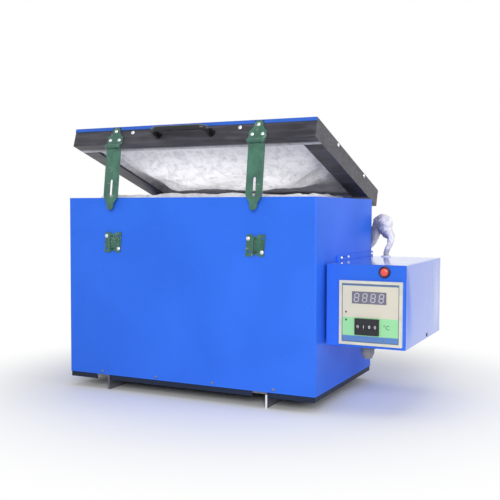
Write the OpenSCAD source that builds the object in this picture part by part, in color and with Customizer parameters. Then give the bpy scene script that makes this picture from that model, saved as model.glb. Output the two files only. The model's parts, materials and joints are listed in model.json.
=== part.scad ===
// Bead annealing kiln: a fibre-lined steel box with a lid hinged at the rear, two strap hasps
// on the front, and a control box on the right side.
// The casing's front lower left corner is the point that all places are measured from.
// The lid is drawn closed, and on_lid() then swings it open on its hinges.

/* [Casing] */
// Width of the casing
body_w = 455; // [420:5:560]
// Depth of the casing, front to rear
body_d = 280; // [260:5:360]
// Height of the casing, without the base
body_h = 300; // [285:5:380]
// Thickness of the casing's sheet
sheet_t = 1.2; // [0.8:0.1:1.6]
// Width of the flange folded inwards at the casing's top
rim_w = 14; // [10:1:18]
// Radius of the casing's upright corners
corner_r = 3; // [2:0.5:5]
// Number of rivets along the front and along the rear
rivet_count = 4; // [2:1:4]
// Distance between two of these rivets
rivet_pitch = 106; // [60:1:110]

/* [Base and feet] */
// How far the dark base band shows below the casing
base_drop = 8.7; // [5:0.1:14]
// How far the base band reaches up inside the casing
base_rise = 12; // [10:1:20]
// Thickness of the base tray's sheet
base_t = 1.5; // [1:0.1:2]
// Leg of the angle iron that makes each foot
foot_leg = 25; // [20:1:32]
// Thickness of the foot's angle iron
foot_t = 3; // [2.5:0.5:5]
// From the casing's side to the foot's upright leg
foot_inset = 79; // [60:1:110]

/* [Insulation] */
// Thickness of the fibre boards in the walls
wall_board = 50; // [40:1:55]
// Thickness of the fibre board in the floor
floor_board = 60; // [40:1:75]
// How far the wall boards end below the casing's rim
board_drop = 8; // [6:1:10]
// Mean height of the soft fibre edge above the rim
rim_swell = 7.2; // [4:0.1:8]
// Height of the waves in the fibre edge
rim_wave = 1.5; // [0.5:0.1:2]

/* [Chamber] */
// Number of heating tubes on each long wall
tube_count = 3; // [2:1:3]
// Outer diameter of a heating tube
tube_d = 13; // [10:1:15]
// Bore of a heating tube
tube_bore = 10; // [6:1:8]
// Height between two heating tubes
tube_pitch = 55; // [45:1:60]
// Thickness of the ceramic holders, along the tubes
holder_t = 10; // [8:1:14]
// Gap between the ceramic shelf and the heating tubes
shelf_gap = 7; // [5:1:20]
// Gap between the shelf's ends and the tube holders
shelf_end = 19.5; // [10:0.5:60]
// Thickness of the ceramic shelf
hearth_t = 12; // [8:1:18]
// Height of the shelf's posts
prop_h = 25; // [15:1:35]

/* [Lid] */
// How far the lid stands open, in degrees
lid_open = 17.6; // [16:0.2:19]
// How far the lid is narrower than the casing, on each side
lid_inset = 5; // [4:0.5:8]
// How far the lid overhangs the casing's front
lid_front = 9; // [8:0.5:10]
// How far the lid overhangs the casing's rear
lid_rear = 43; // [38:1:46]
// Leg of the angle iron that makes the lid's frame
frame_leg = 30; // [28:1:34]
// Thickness of the frame's angle iron
frame_t = 3; // [2.5:0.5:4]
// Depth of the cover's folded lip
lip_h = 6; // [4:0.5:8]
// Gap between the closed lid and the casing
lid_gap = 0.5; // [0.4:0.1:1]
// How far the fibre blanket bulges down into the chamber
pad_bulge = 24; // [16:1:26]
// How far hasps, rivets and handle sit left of the middle
front_shift = 4; // [0:1:6]

/* [Handle and rivets] */
// Width of the bow handle
handle_w = 108; // [90:1:130]
// How far the handle stands out
handle_reach = 28; // [25:1:34]
// Diameter of the handle's rod
handle_d = 9; // [8:0.5:10]
// Height of the handle above the lid's lower edge
handle_up = 14; // [12:0.5:15]
// Distance between the two rivets on the lid's front
lid_rivet_pitch = 199; // [180:1:205]
// Diameter of the rivet heads
rivet_d = 6.5; // [5:0.5:7]

/* [Hasps] */
// Distance between the two hasps
hasp_pitch = 264; // [250:1:300]
// Width of a hasp
hasp_w = 30; // [28:1:34]
// Thickness of the hasp's sheet
hasp_t = 2; // [1.6:0.1:2.2]
// Length of a strap from its pin to its tip
strap_l = 107; // [104:1:110]
// How far a strap leans forward from the vertical, in degrees
strap_lean = 7.2; // [7:0.1:9]
// Length of the strap's slot
slot_l = 30; // [28:1:32]
// Width of the strap's slot
slot_w = 5; // [4.8:0.1:6]
// From the pin to the top of the slot
slot_top = 56; // [54:1:58]
// Diameter of the hasp and hinge pins
pin_d = 3.5; // [3:0.1:4]
// How far the hasp's pin lies below the lid
pin_drop = 4; // [3.9:0.1:5]
// Width of a staple's plate
staple_w = 35; // [32:1:38]
// Height of a staple's plate
staple_h = 34; // [30:1:36]
// How far the staple's loop stands out
loop_reach = 13; // [11:0.5:14]

/* [Hinges] */
// Length of a butt hinge
hinge_l = 60; // [50:2:70]
// Distance between the two hinges
hinge_pitch = 280; // [220:5:300]
// Width of a hinge leaf from the pin's axis
leaf_w = 27; // [25:1:30]
// Thickness of a hinge leaf
leaf_t = 2; // [1.6:0.1:2.2]

/* [Rear wiring cover] */
// Width of the cover
term_w = 100; // [90:1:120]
// Height of the cover
term_h = 65; // [62:1:80]
// Depth of the cover
term_out = 30; // [30:1:36]
// From the casing's right side to the cover
term_right = 25; // [20:1:60]
// From the casing's rim down to the cover
term_drop = 65; // [60:1:90]
// Height of each fixing ear
term_ear = 12; // [10:1:16]

/* [Control box] */
// Width of the control box
box_w = 123; // [121:1:140]
// Height of the control box
box_h = 124.5; // [123:0.5:140]
// Depth of the control box
box_d = 228; // [210:2:235]
// From the casing's front back to the front panel
box_back = 34; // [25:1:38]
// Height of the box's underside above the casing's lower edge
box_up = 75; // [60:1:90]
// Thickness of the plate between casing and box
plate_t = 3.5; // [3:0.5:6]
// How far the cover's front edge stays behind the panel
cover_back = 0.8; // [0.5:0.1:1.5]

/* [Controller] */
// Side of the controller's square bezel
bezel = 96; // [90:1:96]
// How far the bezel stands out of the panel
bezel_out = 6; // [5:0.5:8]
// Width of the bezel's pale border
bezel_rim = 4.3; // [3:0.1:5]
// Gap between the bezel and the panel's right edge
bezel_right = 4.2; // [3.5:0.1:6]
// Gap between the bezel and the panel's lower edge
bezel_low = 4.3; // [3:0.1:6]
// Length of the case behind the panel
case_l = 76; // [60:1:90]
// Width of the thumbwheel block
wheels_w = 37; // [36:0.5:40]
// Height of the thumbwheel block
wheels_h = 24.4; // [23.5:0.1:26]
// Diameter of a digit wheel
wheel_d = 18.4; // [16:0.2:19]
// Width of a digit wheel
wheel_w = 6.6; // [5:0.1:6.8]

/* [Button, gland and leads] */
// Diameter of the button's black ring
ring_d = 17.5; // [16.5:0.5:18.5]
// Diameter of the red cap
cap_d = 12.3; // [11:0.1:12.6]
// Travel of the red cap
cap_travel = 2.5; // [1.5:0.1:3.5]
// Bore of the cable gland
gland_bore = 8; // [6:0.5:9]
// Width of the gland across its flats
gland_hex = 22; // [20:0.5:24]
// Diameter of the lead bundle at its thickest
bundle_d = 20; // [16:0.5:20]
// Diameter of the lead where it enters the box
lead_d = 9; // [7:0.5:10]

/* [Clearances] */
// Radial play between a pin and what turns on it
pin_play = 0.05; // [0.03:0.01:0.1]
// Gap between pieces that move past each other
side_gap = 0.3; // [0.2:0.05:0.4]
// Play between a screw and its hole
screw_play = 0.05; // [0.02:0.01:0.1]

/* [Hidden] */
$fn = 40;

// Colours
blue = "#3f78f0";
navy = "#20303f";
charcoal = "#3f3c43";
steel = "#8a8c92";
bright = "#e6e6e6";
green = "#4f8971";
fibre = "#e4e4e6";
ceramic = "#e9e2d2";
black = "#1c1d20";
cream = "#ddd8c8";

// Lid places, with the lid closed
lid_z = body_h + lid_gap;
lid_x0 = lid_inset;
lid_x1 = body_w - lid_inset;
lid_y0 = -lid_front;
lid_y1 = body_d + lid_rear;
cover_z = lid_z + frame_leg;
leaf_play = 0.2;
knuckle_r = pin_d / 2 + leaf_t - 0.25;
axis_y = body_d + knuckle_r + leaf_play;
axis_z = lid_z - knuckle_r - leaf_play;
hinge_x = [for (side = [-1, 1]) body_w / 2 + side * hinge_pitch / 2];
knuckle_l = hinge_l / 3;
leaf_hole_d = 3;
leaf_hole_z = [-10, -20];

// Hasp places, with the lid closed
hasp_r = pin_d / 2 + hasp_t;
hasp_y = lid_y0 - hasp_r;
hasp_z = lid_z - pin_drop;
front_mid = body_w / 2 - front_shift;
hasp_x = [for (side = [-1, 1]) front_mid + side * hasp_pitch / 2];
eye_l = hasp_w / 4;
hasp_top = pin_drop + frame_leg - 0.5;
shoulder = hasp_top - 17;
leaf_neck = 7.5;
hasp_holes = [[-8.75, pin_drop + 6.8], [8.75, pin_drop + 6.8], [0, pin_drop + 22.7]];
hasp_hole_d = 3;
staple_z = hasp_z - slot_top - slot_l / 2;
staple_t = 1.5;
loop_w = slot_w - 1.4;
loop_h = slot_l - 6;
loop_t = 3;
staple_holes = [for (sx = [-1, 1], sz = [-1, 1]) [sx * staple_w * 0.33, sz * staple_h * 0.31]];

// Where the inner pieces stand
lining_x = sheet_t + base_t + side_gap;
chamber_x = lining_x + wall_board;
chamber_z = base_t + floor_board;
board_top = body_h - board_drop;
tube_off = 5;
tube_y = [for (side = [0, 1]) side * body_d + (1 - 2 * side) * (chamber_x + tube_off + tube_d / 2)];
tube_z = [for (i = [0:tube_count - 1]) chamber_z + 36 + i * tube_pitch];

// Screws in sheet end between the casing's wall and the boards
screw_past = base_t + side_gap - 0.2;
screw_d = 3.6;
pan_d = 7;
pan_h = 2.2;

// Terminal cover on the rear wall
term_x = body_w - term_right - term_w;
term_z = body_h - term_drop - term_h;
term_sheet = 1.2;
probe_x = term_x + 22;
probe_z = term_z + 50;
probe_d = 8;
probe_in = 18;

// Control box
box_x0 = body_w + plate_t;
box_x1 = box_x0 + box_w;
box_top = box_up + box_h;
box_rear = box_back + box_d;
box_sheet = 1.2;
panel_t = 1.5;
panel_x0 = box_x0 + 0.8;
panel_x1 = box_x1 - 0.8;
panel_top = box_top - 0.8;
floor_x0 = box_x0 + box_sheet + 0.2;
floor_x1 = box_x1 - box_sheet - 0.2;
flange_h = 14;
box_screw_head = 1.8;
box_screw_y = box_back + 133;
plate_y0 = box_back + 56;
plate_y1 = box_back + 242;
plate_lip = 8.5;
plate_low = 11;
plate_screw_y = [plate_y0 + 15, plate_y0 + 48, plate_y0 + 178];
plate_low_y = [plate_y0 + 30, plate_y0 + 160];

// Controller
bezel_x = box_x1 - bezel_right - bezel;
bezel_z = box_up + bezel_low;
bezel_y = box_back - bezel_out;
case_in = 3;
face_t = 1;
face_y = bezel_y + 1;
face_side = bezel - 2 * bezel_rim;
window_w = 52.5;
window_h = 18;
window_x = bezel_x + 20;
window_z = bezel_z + bezel - 16 - window_h;
lamp_x = bezel_x + 11;
lamp_z = [bezel_z + bezel - 47, bezel_z + bezel - 59];
lamp_d = 3;
clamp_t = 4.5;
clamp_h = 40;
clamp_l = 30;
wheels_x = bezel_x + 25;
wheels_z = bezel_z + bezel - 56 - wheels_h;
wheels_out = 3;
wheels_y = face_y - wheels_out;
wheels_wall = 1.2;
wheel_show = 0.2;
wheel_slot = wheel_w + 2 * 0.2;
wheel_step = (wheels_w - 4 * wheel_slot) / 5 + wheel_slot;
wheel_y = wheels_y - wheel_show + wheel_d / 2;
wheel_z = wheels_z + wheels_h / 2;
wheel_hidden = wheel_d / 2 - wheel_show - wheels_wall;
window_half = sqrt(wheel_d * wheel_d / 4 - wheel_hidden * wheel_hidden) + side_gap;
axle_d = 3;
wheels_rear = wheel_y + wheel_d / 2 + 2;

// Button and gland
button_x = panel_x0 + 90.2;
button_z = panel_top - 9.7;
ring_out = 3;
barrel_d = cap_d + 1.5;
cap_out = 2;
cap_l = 16;
gland_x = box_x0 + 58.5;
gland_y = box_back + 26;
gland_drop = 20;
stub_d = 15;

// Route of the lead bundle, from the rear cover to the box's top
bush_wall = 2;
term_port = [term_x + term_w, body_d + 15, term_z + 45];
box_port = [box_x0 + 31.5, box_rear - 12, box_top];
route = [
    term_port + [-6, 0, 0],
    term_port + [2.5, 0, 0],
    term_port + [7, 0, 0],
    term_port + [20, 1, 12],
    term_port + [29, 0, 31],
    term_port + [37, -2, 42],
    term_port + [45, -5, 37],
    term_port + [50, -10, 24],
    box_port + [-4, 24, 30],
    box_port + [0, 14, 22],
    box_port + [0, 3, 15],
    box_port + [0, 0, 7],
    box_port + [0, 0, 3],
    box_port + [0, 0, -6]
];
thick_r = bundle_d / 2;
thin_r = lead_d / 2;
route_r = [thick_r, thick_r, thick_r, thick_r, thick_r, thick_r, thick_r,
    (thick_r * 2 + thin_r) / 3, (thick_r + thin_r * 4) / 5, thin_r, thin_r, thin_r, thin_r, thin_r];

// Overall middle of the object, worked out from its outermost points at rest
function rest_y(y, z) = axis_y + (y - axis_y) * cos(lid_open) + (z - axis_z) * sin(lid_open);
function rest_z(y, z) = axis_z - (y - axis_y) * sin(lid_open) + (z - axis_z) * cos(lid_open);
grip_y = lid_y0 - handle_reach + handle_d / 2;
grip_z = lid_z + handle_up;
front_reach = rest_y(grip_y, grip_z) - handle_d / 2;
rear_reach = rest_y(lid_y1 + sheet_t, cover_z + sheet_t);
mid_x = (box_x1 + box_screw_head) / 2;
mid_y = (front_reach + rear_reach) / 2;

// Moves a piece from the casing's corner to the object's own origin
module placed() translate([-mid_x, -mid_y, foot_leg]) children();

// Swings what is drawn on the closed lid open to its rest
module on_lid() placed()
    translate([0, axis_y, axis_z]) rotate([-lid_open, 0, 0]) translate([0, -axis_y, -axis_z])
        children();

// A box from one corner to the other
module block(low, high) translate(low) cube(high - low);

// The same with round upright edges
module round_block(low, high, r) {
    block([low[0] + r, low[1], low[2]], [high[0] - r, high[1], high[2]]);
    block([low[0], low[1] + r, low[2]], [high[0], high[1] - r, high[2]]);
    for (x = [low[0] + r, high[0] - r], y = [low[1] + r, high[1] - r])
        translate([x, y, low[2]]) cylinder(r = r, h = high[2] - low[2]);
}

// Four walls with neither top nor bottom
module wall_ring(low, high, wall) difference() {
    block(low, high);
    block(low + [wall, wall, -1], high + [-wall, -wall, 1]);
}

// Pan-head screw: its head stands on z = 0 and its shank runs down
module pan_screw(shank_l, head_d = pan_d, head_h = pan_h, shank_d = screw_d) {
    cylinder(d1 = head_d, d2 = head_d * 0.72, h = head_h);
    translate([0, 0, -shank_l]) cylinder(d = shank_d, h = shank_l + 0.1);
}

// Domed rivet: its head stands on z = 0 and its shank runs down
module rivet(shank_l, head_d = rivet_d, shank_d = 3) {
    dome_h = head_d * 0.28;
    dome_r = (head_d * head_d / 4 + dome_h * dome_h) / (2 * dome_h);
    intersection() {
        translate([0, 0, dome_h - dome_r]) sphere(r = dome_r);
        cylinder(d = head_d + 1, h = dome_h + 1);
    }
    translate([0, 0, -shank_l]) cylinder(d = shank_d, h = shank_l + 0.1);
}

// Points of a wall from outside: towards the front, the rear and the right
module face_front() rotate([90, 0, 0]) children();
module face_rear() rotate([-90, 0, 0]) children();
module face_right() rotate([0, 90, 0]) children();
module face_left() rotate([0, -90, 0]) children();

// Hole through a sheet, along the axis of the screw or rivet drawn there
module hole(d, depth = 12) translate([0, 0, -depth]) cylinder(d = d + 2 * screw_play, h = 2 * depth);

// Places of the fasteners
module at_casing_rivets() for (side = [0, 1], i = [0:rivet_count - 1])
    translate([body_w / 2 + (i - (rivet_count - 1) / 2) * rivet_pitch, side * body_d, 5])
        rotate([side == 0 ? 90 : -90, 0, 0]) children();
module at_staple_screws() for (x = hasp_x)
    for (spot = [staple_holes[1], staple_holes[2]])
        translate([x + spot[0], -staple_t, staple_z + spot[1]]) face_front() children();
module at_foot_screws() for (x = foot_x, y = [40, body_d - 40])
    translate([x + foot_t - foot_leg / 2, y, -foot_t]) rotate([180, 0, 0]) children();
module at_body_leaf_screws() for (x = hinge_x, sx = [-1, 1], z = leaf_hole_z)
    translate([x + sx * hinge_l * 0.33, body_d + leaf_t, axis_z + z]) face_rear() children();
module at_lid_leaf_screws() for (x = hinge_x, sx = [-1, 1], z = leaf_hole_z)
    translate([x + sx * hinge_l * 0.33, axis_y - z, lid_z - leaf_t]) rotate([180, 0, 0])
        children();
module at_term_screws() for (z = [term_z - term_ear / 2, term_z + term_h + term_ear / 2])
    translate([term_x + term_w / 2, body_d + term_sheet, z]) face_rear() children();
module at_plate_screws() {
    for (y = plate_screw_y)
        translate([box_x0, y, box_top + plate_lip / 2]) face_right() children();
    for (y = plate_low_y)
        translate([box_x0, y, box_up - plate_low / 2]) face_right() children();
}
module at_front_rivets() for (side = [-1, 1])
    translate([front_mid + side * lid_rivet_pitch / 2, lid_y0, lid_z + 20])
        face_front() children();
module at_side_rivets() for (y = [90, body_d - 47]) {
    translate([lid_x1, y, lid_z + 26]) face_right() children();
    translate([lid_x0, y, lid_z + 26]) face_left() children();
}
module at_hasp_rivets() for (x = hasp_x, spot = hasp_holes)
    translate([x + spot[0], lid_y0 - hasp_t, hasp_z + spot[1]]) face_front() children();
module at_box_screws() {
    translate([box_x1, box_screw_y, box_up + 6]) face_right() children();
    for (x = [box_x0 + 25, box_x1 - 25])
        translate([x, box_rear + box_sheet, box_top - 8]) face_rear() children();
}

foot_x = [foot_inset, body_w - foot_inset - foot_t];

// Casing and base
module outer_casing() color(blue) placed() difference() {
    round_block([0, 0, 0], [body_w, body_d, body_h], corner_r);
    round_block([sheet_t, sheet_t, -1], [body_w - sheet_t, body_d - sheet_t, body_h - sheet_t],
        corner_r - sheet_t);
    block([rim_w, rim_w, 1], [body_w - rim_w, body_d - rim_w, body_h + 1]);
    at_casing_rivets() hole(3);
    at_staple_screws() hole(screw_d);
    at_body_leaf_screws() hole(leaf_hole_d);
    at_term_screws() hole(screw_d);
    at_plate_screws() hole(screw_d);
    translate([probe_x, body_d, probe_z]) face_rear() hole(probe_d);
    block([term_x + 45, body_d - 5, term_z + 34], [term_x + 75, body_d + 5, term_z + 42]);
}

module base_tray() color(navy) placed() difference() {
    tray_r = corner_r - sheet_t;
    inner = sheet_t + base_t;
    round_block([sheet_t, sheet_t, -base_drop], [body_w - sheet_t, body_d - sheet_t, base_rise],
        tray_r);
    block([inner, inner, -base_drop - 1], [body_w - inner, body_d - inner, 0]);
    block([inner, inner, base_t], [body_w - inner, body_d - inner, base_rise + 1]);
    for (x = foot_x)
        block([x + foot_t - foot_leg - side_gap, -1, -base_drop - 1],
            [x + foot_t + side_gap, body_d + 1, 0]);
    at_casing_rivets() hole(3);
    at_foot_screws() hole(5);
}

// An angle iron that runs front to rear, with its upright leg at x
module foot(x) color(steel) placed() difference() {
    union() {
        block([x, 0, -foot_leg], [x + foot_t, body_d, 0]);
        block([x + foot_t - foot_leg, 0, -foot_t], [x + foot_t, body_d, 0]);
    }
    at_foot_screws() hole(5);
}
module foot_left() foot(foot_x[0]);
module foot_right() foot(foot_x[1]);

module foot_screws() color(steel) placed()
    at_foot_screws() pan_screw(foot_t + base_t, 9, 3.5, 5);

module casing_rivets() color(bright) placed()
    at_casing_rivets() rivet(sheet_t + base_t, 4.5);

// Fibre lining
module insulation_floor() color(fibre) placed()
    block([lining_x, lining_x, base_t], [body_w - lining_x, body_d - lining_x, chamber_z]);

module insulation_long_walls() color(fibre) placed() difference() {
    for (y = [lining_x, body_d - lining_x - wall_board])
        block([lining_x, y, chamber_z], [body_w - lining_x, y + wall_board, board_top]);
    translate([probe_x, body_d, probe_z]) face_rear() hole(probe_d, 2 * wall_board);
}

module insulation_end_walls() color(fibre) placed()
    for (x = [lining_x, body_w - lining_x - wall_board])
        block([x, chamber_x, chamber_z], [x + wall_board, body_d - chamber_x, board_top]);

// Soft blanket edge: a ring of stations round the rim, each with the same six-point profile
rim_steps = 22;
rim_base = rim_w + side_gap;
function rim_corner(side, inward) = let (x = side == 1 || side == 2 ? body_w - inward : inward,
    y = side >= 2 ? body_d - inward : inward) [x, y];
function rim_spot(side, t, inward) =
    rim_corner(side, inward) * (1 - t) + rim_corner((side + 1) % 4, inward) * t;
function rim_rise(side, t) = rim_swell * (0.62 + 0.38 * sin(180 * t))
    + rim_wave * (0.6 * sin(t * 1130 + side * 80) + 0.4 * sin(t * 2290 + side * 131));
function rim_profile(side, t) = let (rise = max(1.2, rim_rise(side, t))) [
    [lining_x, board_top],
    [lining_x, body_h - sheet_t - side_gap],
    [rim_base, body_h - sheet_t - side_gap],
    [rim_base + 1, body_h - 0.2],
    [lid_inset + frame_leg + 2, body_h],
    [lid_inset + frame_leg + 6, body_h + rise * 0.85],
    [chamber_x - 8, body_h + rise],
    [chamber_x - 2, body_h + rise * 0.5],
    [chamber_x, body_h - 3],
    [chamber_x, board_top]
];
rim_count = 10;
module fibre_rim() color(fibre) placed() polyhedron(
    points = [for (side = [0:3], i = [0:rim_steps - 1]) let (t = i / rim_steps)
        for (p = rim_profile(side, t)) [rim_spot(side, t, p[0])[0], rim_spot(side, t, p[0])[1], p[1]]],
    faces = [for (i = [0:4 * rim_steps - 1], j = [0:rim_count - 1])
        let (a = i * rim_count + j, b = i * rim_count + (j + 1) % rim_count,
            next = (i + 1) % (4 * rim_steps) - i)
        for (tri = [[a, b, b + next * rim_count], [a, b + next * rim_count, a + next * rim_count]])
            tri],
    convexity = 10);

// Chamber
module heater_tubes() color(bright) placed()
    for (y = tube_y, z = tube_z) translate([chamber_x + 1, y, z]) face_right() difference() {
        cylinder(d = tube_d, h = body_w - 2 * chamber_x - 2);
        translate([0, 0, -1]) cylinder(d = tube_bore, h = body_w);
    }

module tube_holders() color(ceramic) placed() difference() {
    for (x = [chamber_x, body_w - chamber_x - holder_t], side = [0, 1]) {
        wide = tube_d + 2 * tube_off;
        y = side == 0 ? chamber_x : body_d - chamber_x - wide;
        block([x, y, chamber_z], [x + holder_t, y + wide, tube_z[tube_count - 1] + 16]);
    }
    for (y = tube_y, z = tube_z) translate([0, y, z]) face_right()
        cylinder(d = tube_d + 2 * screw_play, h = body_w);
}

hearth_x0 = chamber_x + holder_t + shelf_end;
hearth_y0 = chamber_x + tube_off + tube_d + shelf_gap;
module hearth_plate() color(ceramic) placed()
    block([hearth_x0, hearth_y0, chamber_z + prop_h],
        [body_w - hearth_x0, body_d - hearth_y0, chamber_z + prop_h + hearth_t]);

module hearth_props() color(ceramic) placed()
    for (x = [hearth_x0 + 18, body_w - hearth_x0 - 18], y = [hearth_y0 + 18, body_d - hearth_y0 - 18])
        translate([x, y, chamber_z]) cylinder(d = 24, h = prop_h);

module thermocouple_sheath() color(ceramic) placed()
    translate([probe_x, body_d - chamber_x - probe_in, probe_z]) face_rear() {
        cylinder(d = probe_d, h = chamber_x + probe_in + 4);
        sphere(d = probe_d);
    }

module thermocouple_head() color(ceramic) placed() difference() {
    block([probe_x - 9, body_d, probe_z - 9], [probe_x + 9, body_d + 16, probe_z + 9]);
    translate([probe_x, body_d - 1, probe_z]) face_rear()
        cylinder(d = probe_d + 2 * screw_play, h = 5.2);
}

// Rear wiring
module terminal_cover() color(blue) placed() difference() {
    union() {
        difference() {
            block([term_x, body_d, term_z], [term_x + term_w, body_d + term_out, term_z + term_h]);
            block([term_x + term_sheet, body_d - 1, term_z + term_sheet],
                [term_x + term_w - term_sheet, body_d + term_out - term_sheet,
                    term_z + term_h - term_sheet]);
        }
        for (z = [term_z - term_ear, term_z + term_h])
            block([term_x + term_w / 2 - 10, body_d, z],
                [term_x + term_w / 2 + 10, body_d + term_sheet, z + term_ear]);
    }
    at_term_screws() hole(screw_d);
    translate(term_port) face_right() cylinder(d = bundle_d + 2 * bush_wall, h = 10, center = true);
}

module terminal_block() color(ceramic) placed() difference() {
    block([term_x + 18, body_d, term_z + 10], [term_x + 82, body_d + 14, term_z + 30]);
    for (i = [0:3]) translate([term_x + 27 + i * 15, body_d + 14, term_z + 20]) face_rear()
        translate([0, 0, -8]) cylinder(d = 5, h = 10);
}

module terminal_cover_screws() color(steel) placed()
    at_term_screws() pan_screw(term_sheet + sheet_t + screw_past);

// A bush is a ring with a flange on each side of the sheet that it sits in
module bush(bore, sheet) difference() {
    union() {
        cylinder(d = bore + 2 * bush_wall - 2 * screw_play, h = sheet);
        translate([0, 0, sheet]) cylinder(d = bore + 2 * bush_wall + 3, h = 2);
        translate([0, 0, -2]) cylinder(d = bore + 2 * bush_wall + 3, h = 2);
    }
    translate([0, 0, -5]) cylinder(d = bore + 2 * screw_play, h = sheet + 10);
}

module lead_bushes() color(black) placed() {
    translate(term_port - [term_sheet, 0, 0]) face_right() bush(bundle_d, term_sheet);
    translate(box_port - [0, 0, box_sheet]) bush(lead_d, box_sheet);
}

// The bundle is a round tube swept along a smooth curve through the route's points
function curve(p0, p1, p2, p3, t) = 0.5 * ((2 * p1) + (p2 - p0) * t
    + (2 * p0 - 5 * p1 + 4 * p2 - p3) * t * t + (3 * p1 - p0 - 3 * p2 + p3) * t * t * t);
function pick(list, i) = list[max(0, min(len(list) - 1, i))];
route_sub = 3;
route_last = (len(route) - 1) * route_sub;
function smooth(list, i) = let (k = min(floor(i / route_sub), len(list) - 2), t = i / route_sub - k)
    curve(pick(list, k - 1), pick(list, k), pick(list, k + 1), pick(list, k + 2), t);
function unit(v) = v / norm(v);
function heading(i) = i == 0 ? [1, 0, 0] : i == route_last ? [0, 0, -1]
    : unit(smooth(route, min(i + 1, route_last)) - smooth(route, max(i - 1, 0)));
function across(i) = i == 0 ? [0, 1, 0]
    : let (last = across(i - 1), h = heading(i)) unit(last - (last * h) * h);
bundle_sides = 12;
bundle_across = [for (i = [0:route_last]) across(i)];
module lead_bundle() color("white") placed() polyhedron(
    points = [for (i = [0:route_last], j = [0:bundle_sides - 1])
        let (u = bundle_across[i], v = cross(heading(i), u), a = 360 * j / bundle_sides,
            r = smooth(route_r, i))
        smooth(route, i) + r * (cos(a) * u + sin(a) * v)],
    faces = concat(
        [[for (j = [0:bundle_sides - 1]) j]],
        [[for (j = [0:bundle_sides - 1]) route_last * bundle_sides + bundle_sides - 1 - j]],
        [for (i = [0:route_last - 1], j = [0:bundle_sides - 1])
            let (a = i * bundle_sides + j, b = i * bundle_sides + (j + 1) % bundle_sides)
            for (tri = [[a, a + bundle_sides, b], [b, a + bundle_sides, b + bundle_sides]]) tri]),
    convexity = 10);

// A butt hinge leaf hangs below its pin, whose axis is the x axis, with its back towards -y;
// eyes lists the knuckles that it carries
module butt_leaf(eyes) {
    back = -knuckle_r - leaf_play;
    difference() {
        union() {
            block([-hinge_l / 2, back, -leaf_w], [hinge_l / 2, back + leaf_t, -knuckle_r - 0.6]);
            for (i = eyes) {
                x = -hinge_l / 2 + i * knuckle_l + (i == 0 ? 0 : leaf_play);
                w = knuckle_l - (i == 1 ? 2 : 1) * leaf_play;
                block([x, back, -knuckle_r - 1], [x + w, back + leaf_t, 0]);
                translate([x, 0, 0]) face_right() cylinder(r = knuckle_r, h = w);
            }
        }
        translate([-hinge_l, 0, 0]) face_right() cylinder(d = pin_d + 2 * pin_play, h = 2 * hinge_l);
        for (sx = [-1, 1], z = leaf_hole_z) translate([sx * hinge_l * 0.33, 0, z]) face_rear()
            hole(leaf_hole_d);
    }
}

module hinge_body_leaves() color(green) placed()
    for (x = hinge_x) translate([x, axis_y, axis_z]) butt_leaf([0, 2]);

module hinge_pins() color(steel) placed()
    for (x = hinge_x) translate([x - hinge_l / 2 - 1, axis_y, axis_z]) face_right()
        cylinder(d = pin_d, h = hinge_l + 2);

module hinge_body_screws() color(steel) placed()
    at_body_leaf_screws() pan_screw(leaf_t + sheet_t + screw_past, 5.5, 1.4, leaf_hole_d);

module hinge_lid_leaves() color(green) on_lid()
    for (x = hinge_x) translate([x, axis_y, axis_z]) rotate([-90, 0, 0]) mirror([0, 0, 1])
        butt_leaf([1]);

module hinge_lid_screws() color(steel) on_lid()
    at_lid_leaf_screws() pan_screw(leaf_t + frame_t, 5.5, 1.4, leaf_hole_d);

// Lid
module lid_frame() color(charcoal) on_lid() difference() {
    union() {
        wall_ring([lid_x0, lid_y0, lid_z], [lid_x1, lid_y1, cover_z], frame_t);
        wall_ring([lid_x0, lid_y0, lid_z], [lid_x1, lid_y1, lid_z + frame_t], frame_leg);
        for (x = [lid_x0, lid_x1 - frame_t])
            block([x, lid_y0, lid_z], [x + frame_t, lid_y1, cover_z + sheet_t]);
    }
    at_front_rivets() hole(3);
    at_side_rivets() hole(3);
    at_hasp_rivets() hole(hasp_hole_d);
    at_lid_leaf_screws() hole(leaf_hole_d);
    at_handle_ends() hole(5);
}

module lid_cover() color(blue) on_lid() difference() {
    union() {
        block([lid_x0 + frame_t, lid_y0, cover_z], [lid_x1 - frame_t, lid_y1, cover_z + sheet_t]);
        for (y = [lid_y0 - sheet_t, lid_y1])
            block([lid_x0, y, cover_z + sheet_t - lip_h],
                [lid_x1, y + sheet_t, cover_z + sheet_t]);
        for (y = [lid_y0 - sheet_t / 2, lid_y1 - sheet_t / 2])
            block([lid_x0 + frame_t, y, cover_z], [lid_x1 - frame_t, y + sheet_t, cover_z + sheet_t]);
        for (x = [lid_x0 + frame_t, lid_x1 - frame_t - sheet_t])
            block([x, lid_y0 + frame_t + 1, cover_z - 12],
                [x + sheet_t, lid_y1 - frame_t - 1, cover_z + 0.1]);
    }
    at_side_rivets() hole(3);
    for (x = hasp_x) block([x - leaf_neck - side_gap, lid_y0 - 5, cover_z - lip_h],
        [x + leaf_neck + side_gap, lid_y0, cover_z]);
}

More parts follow.
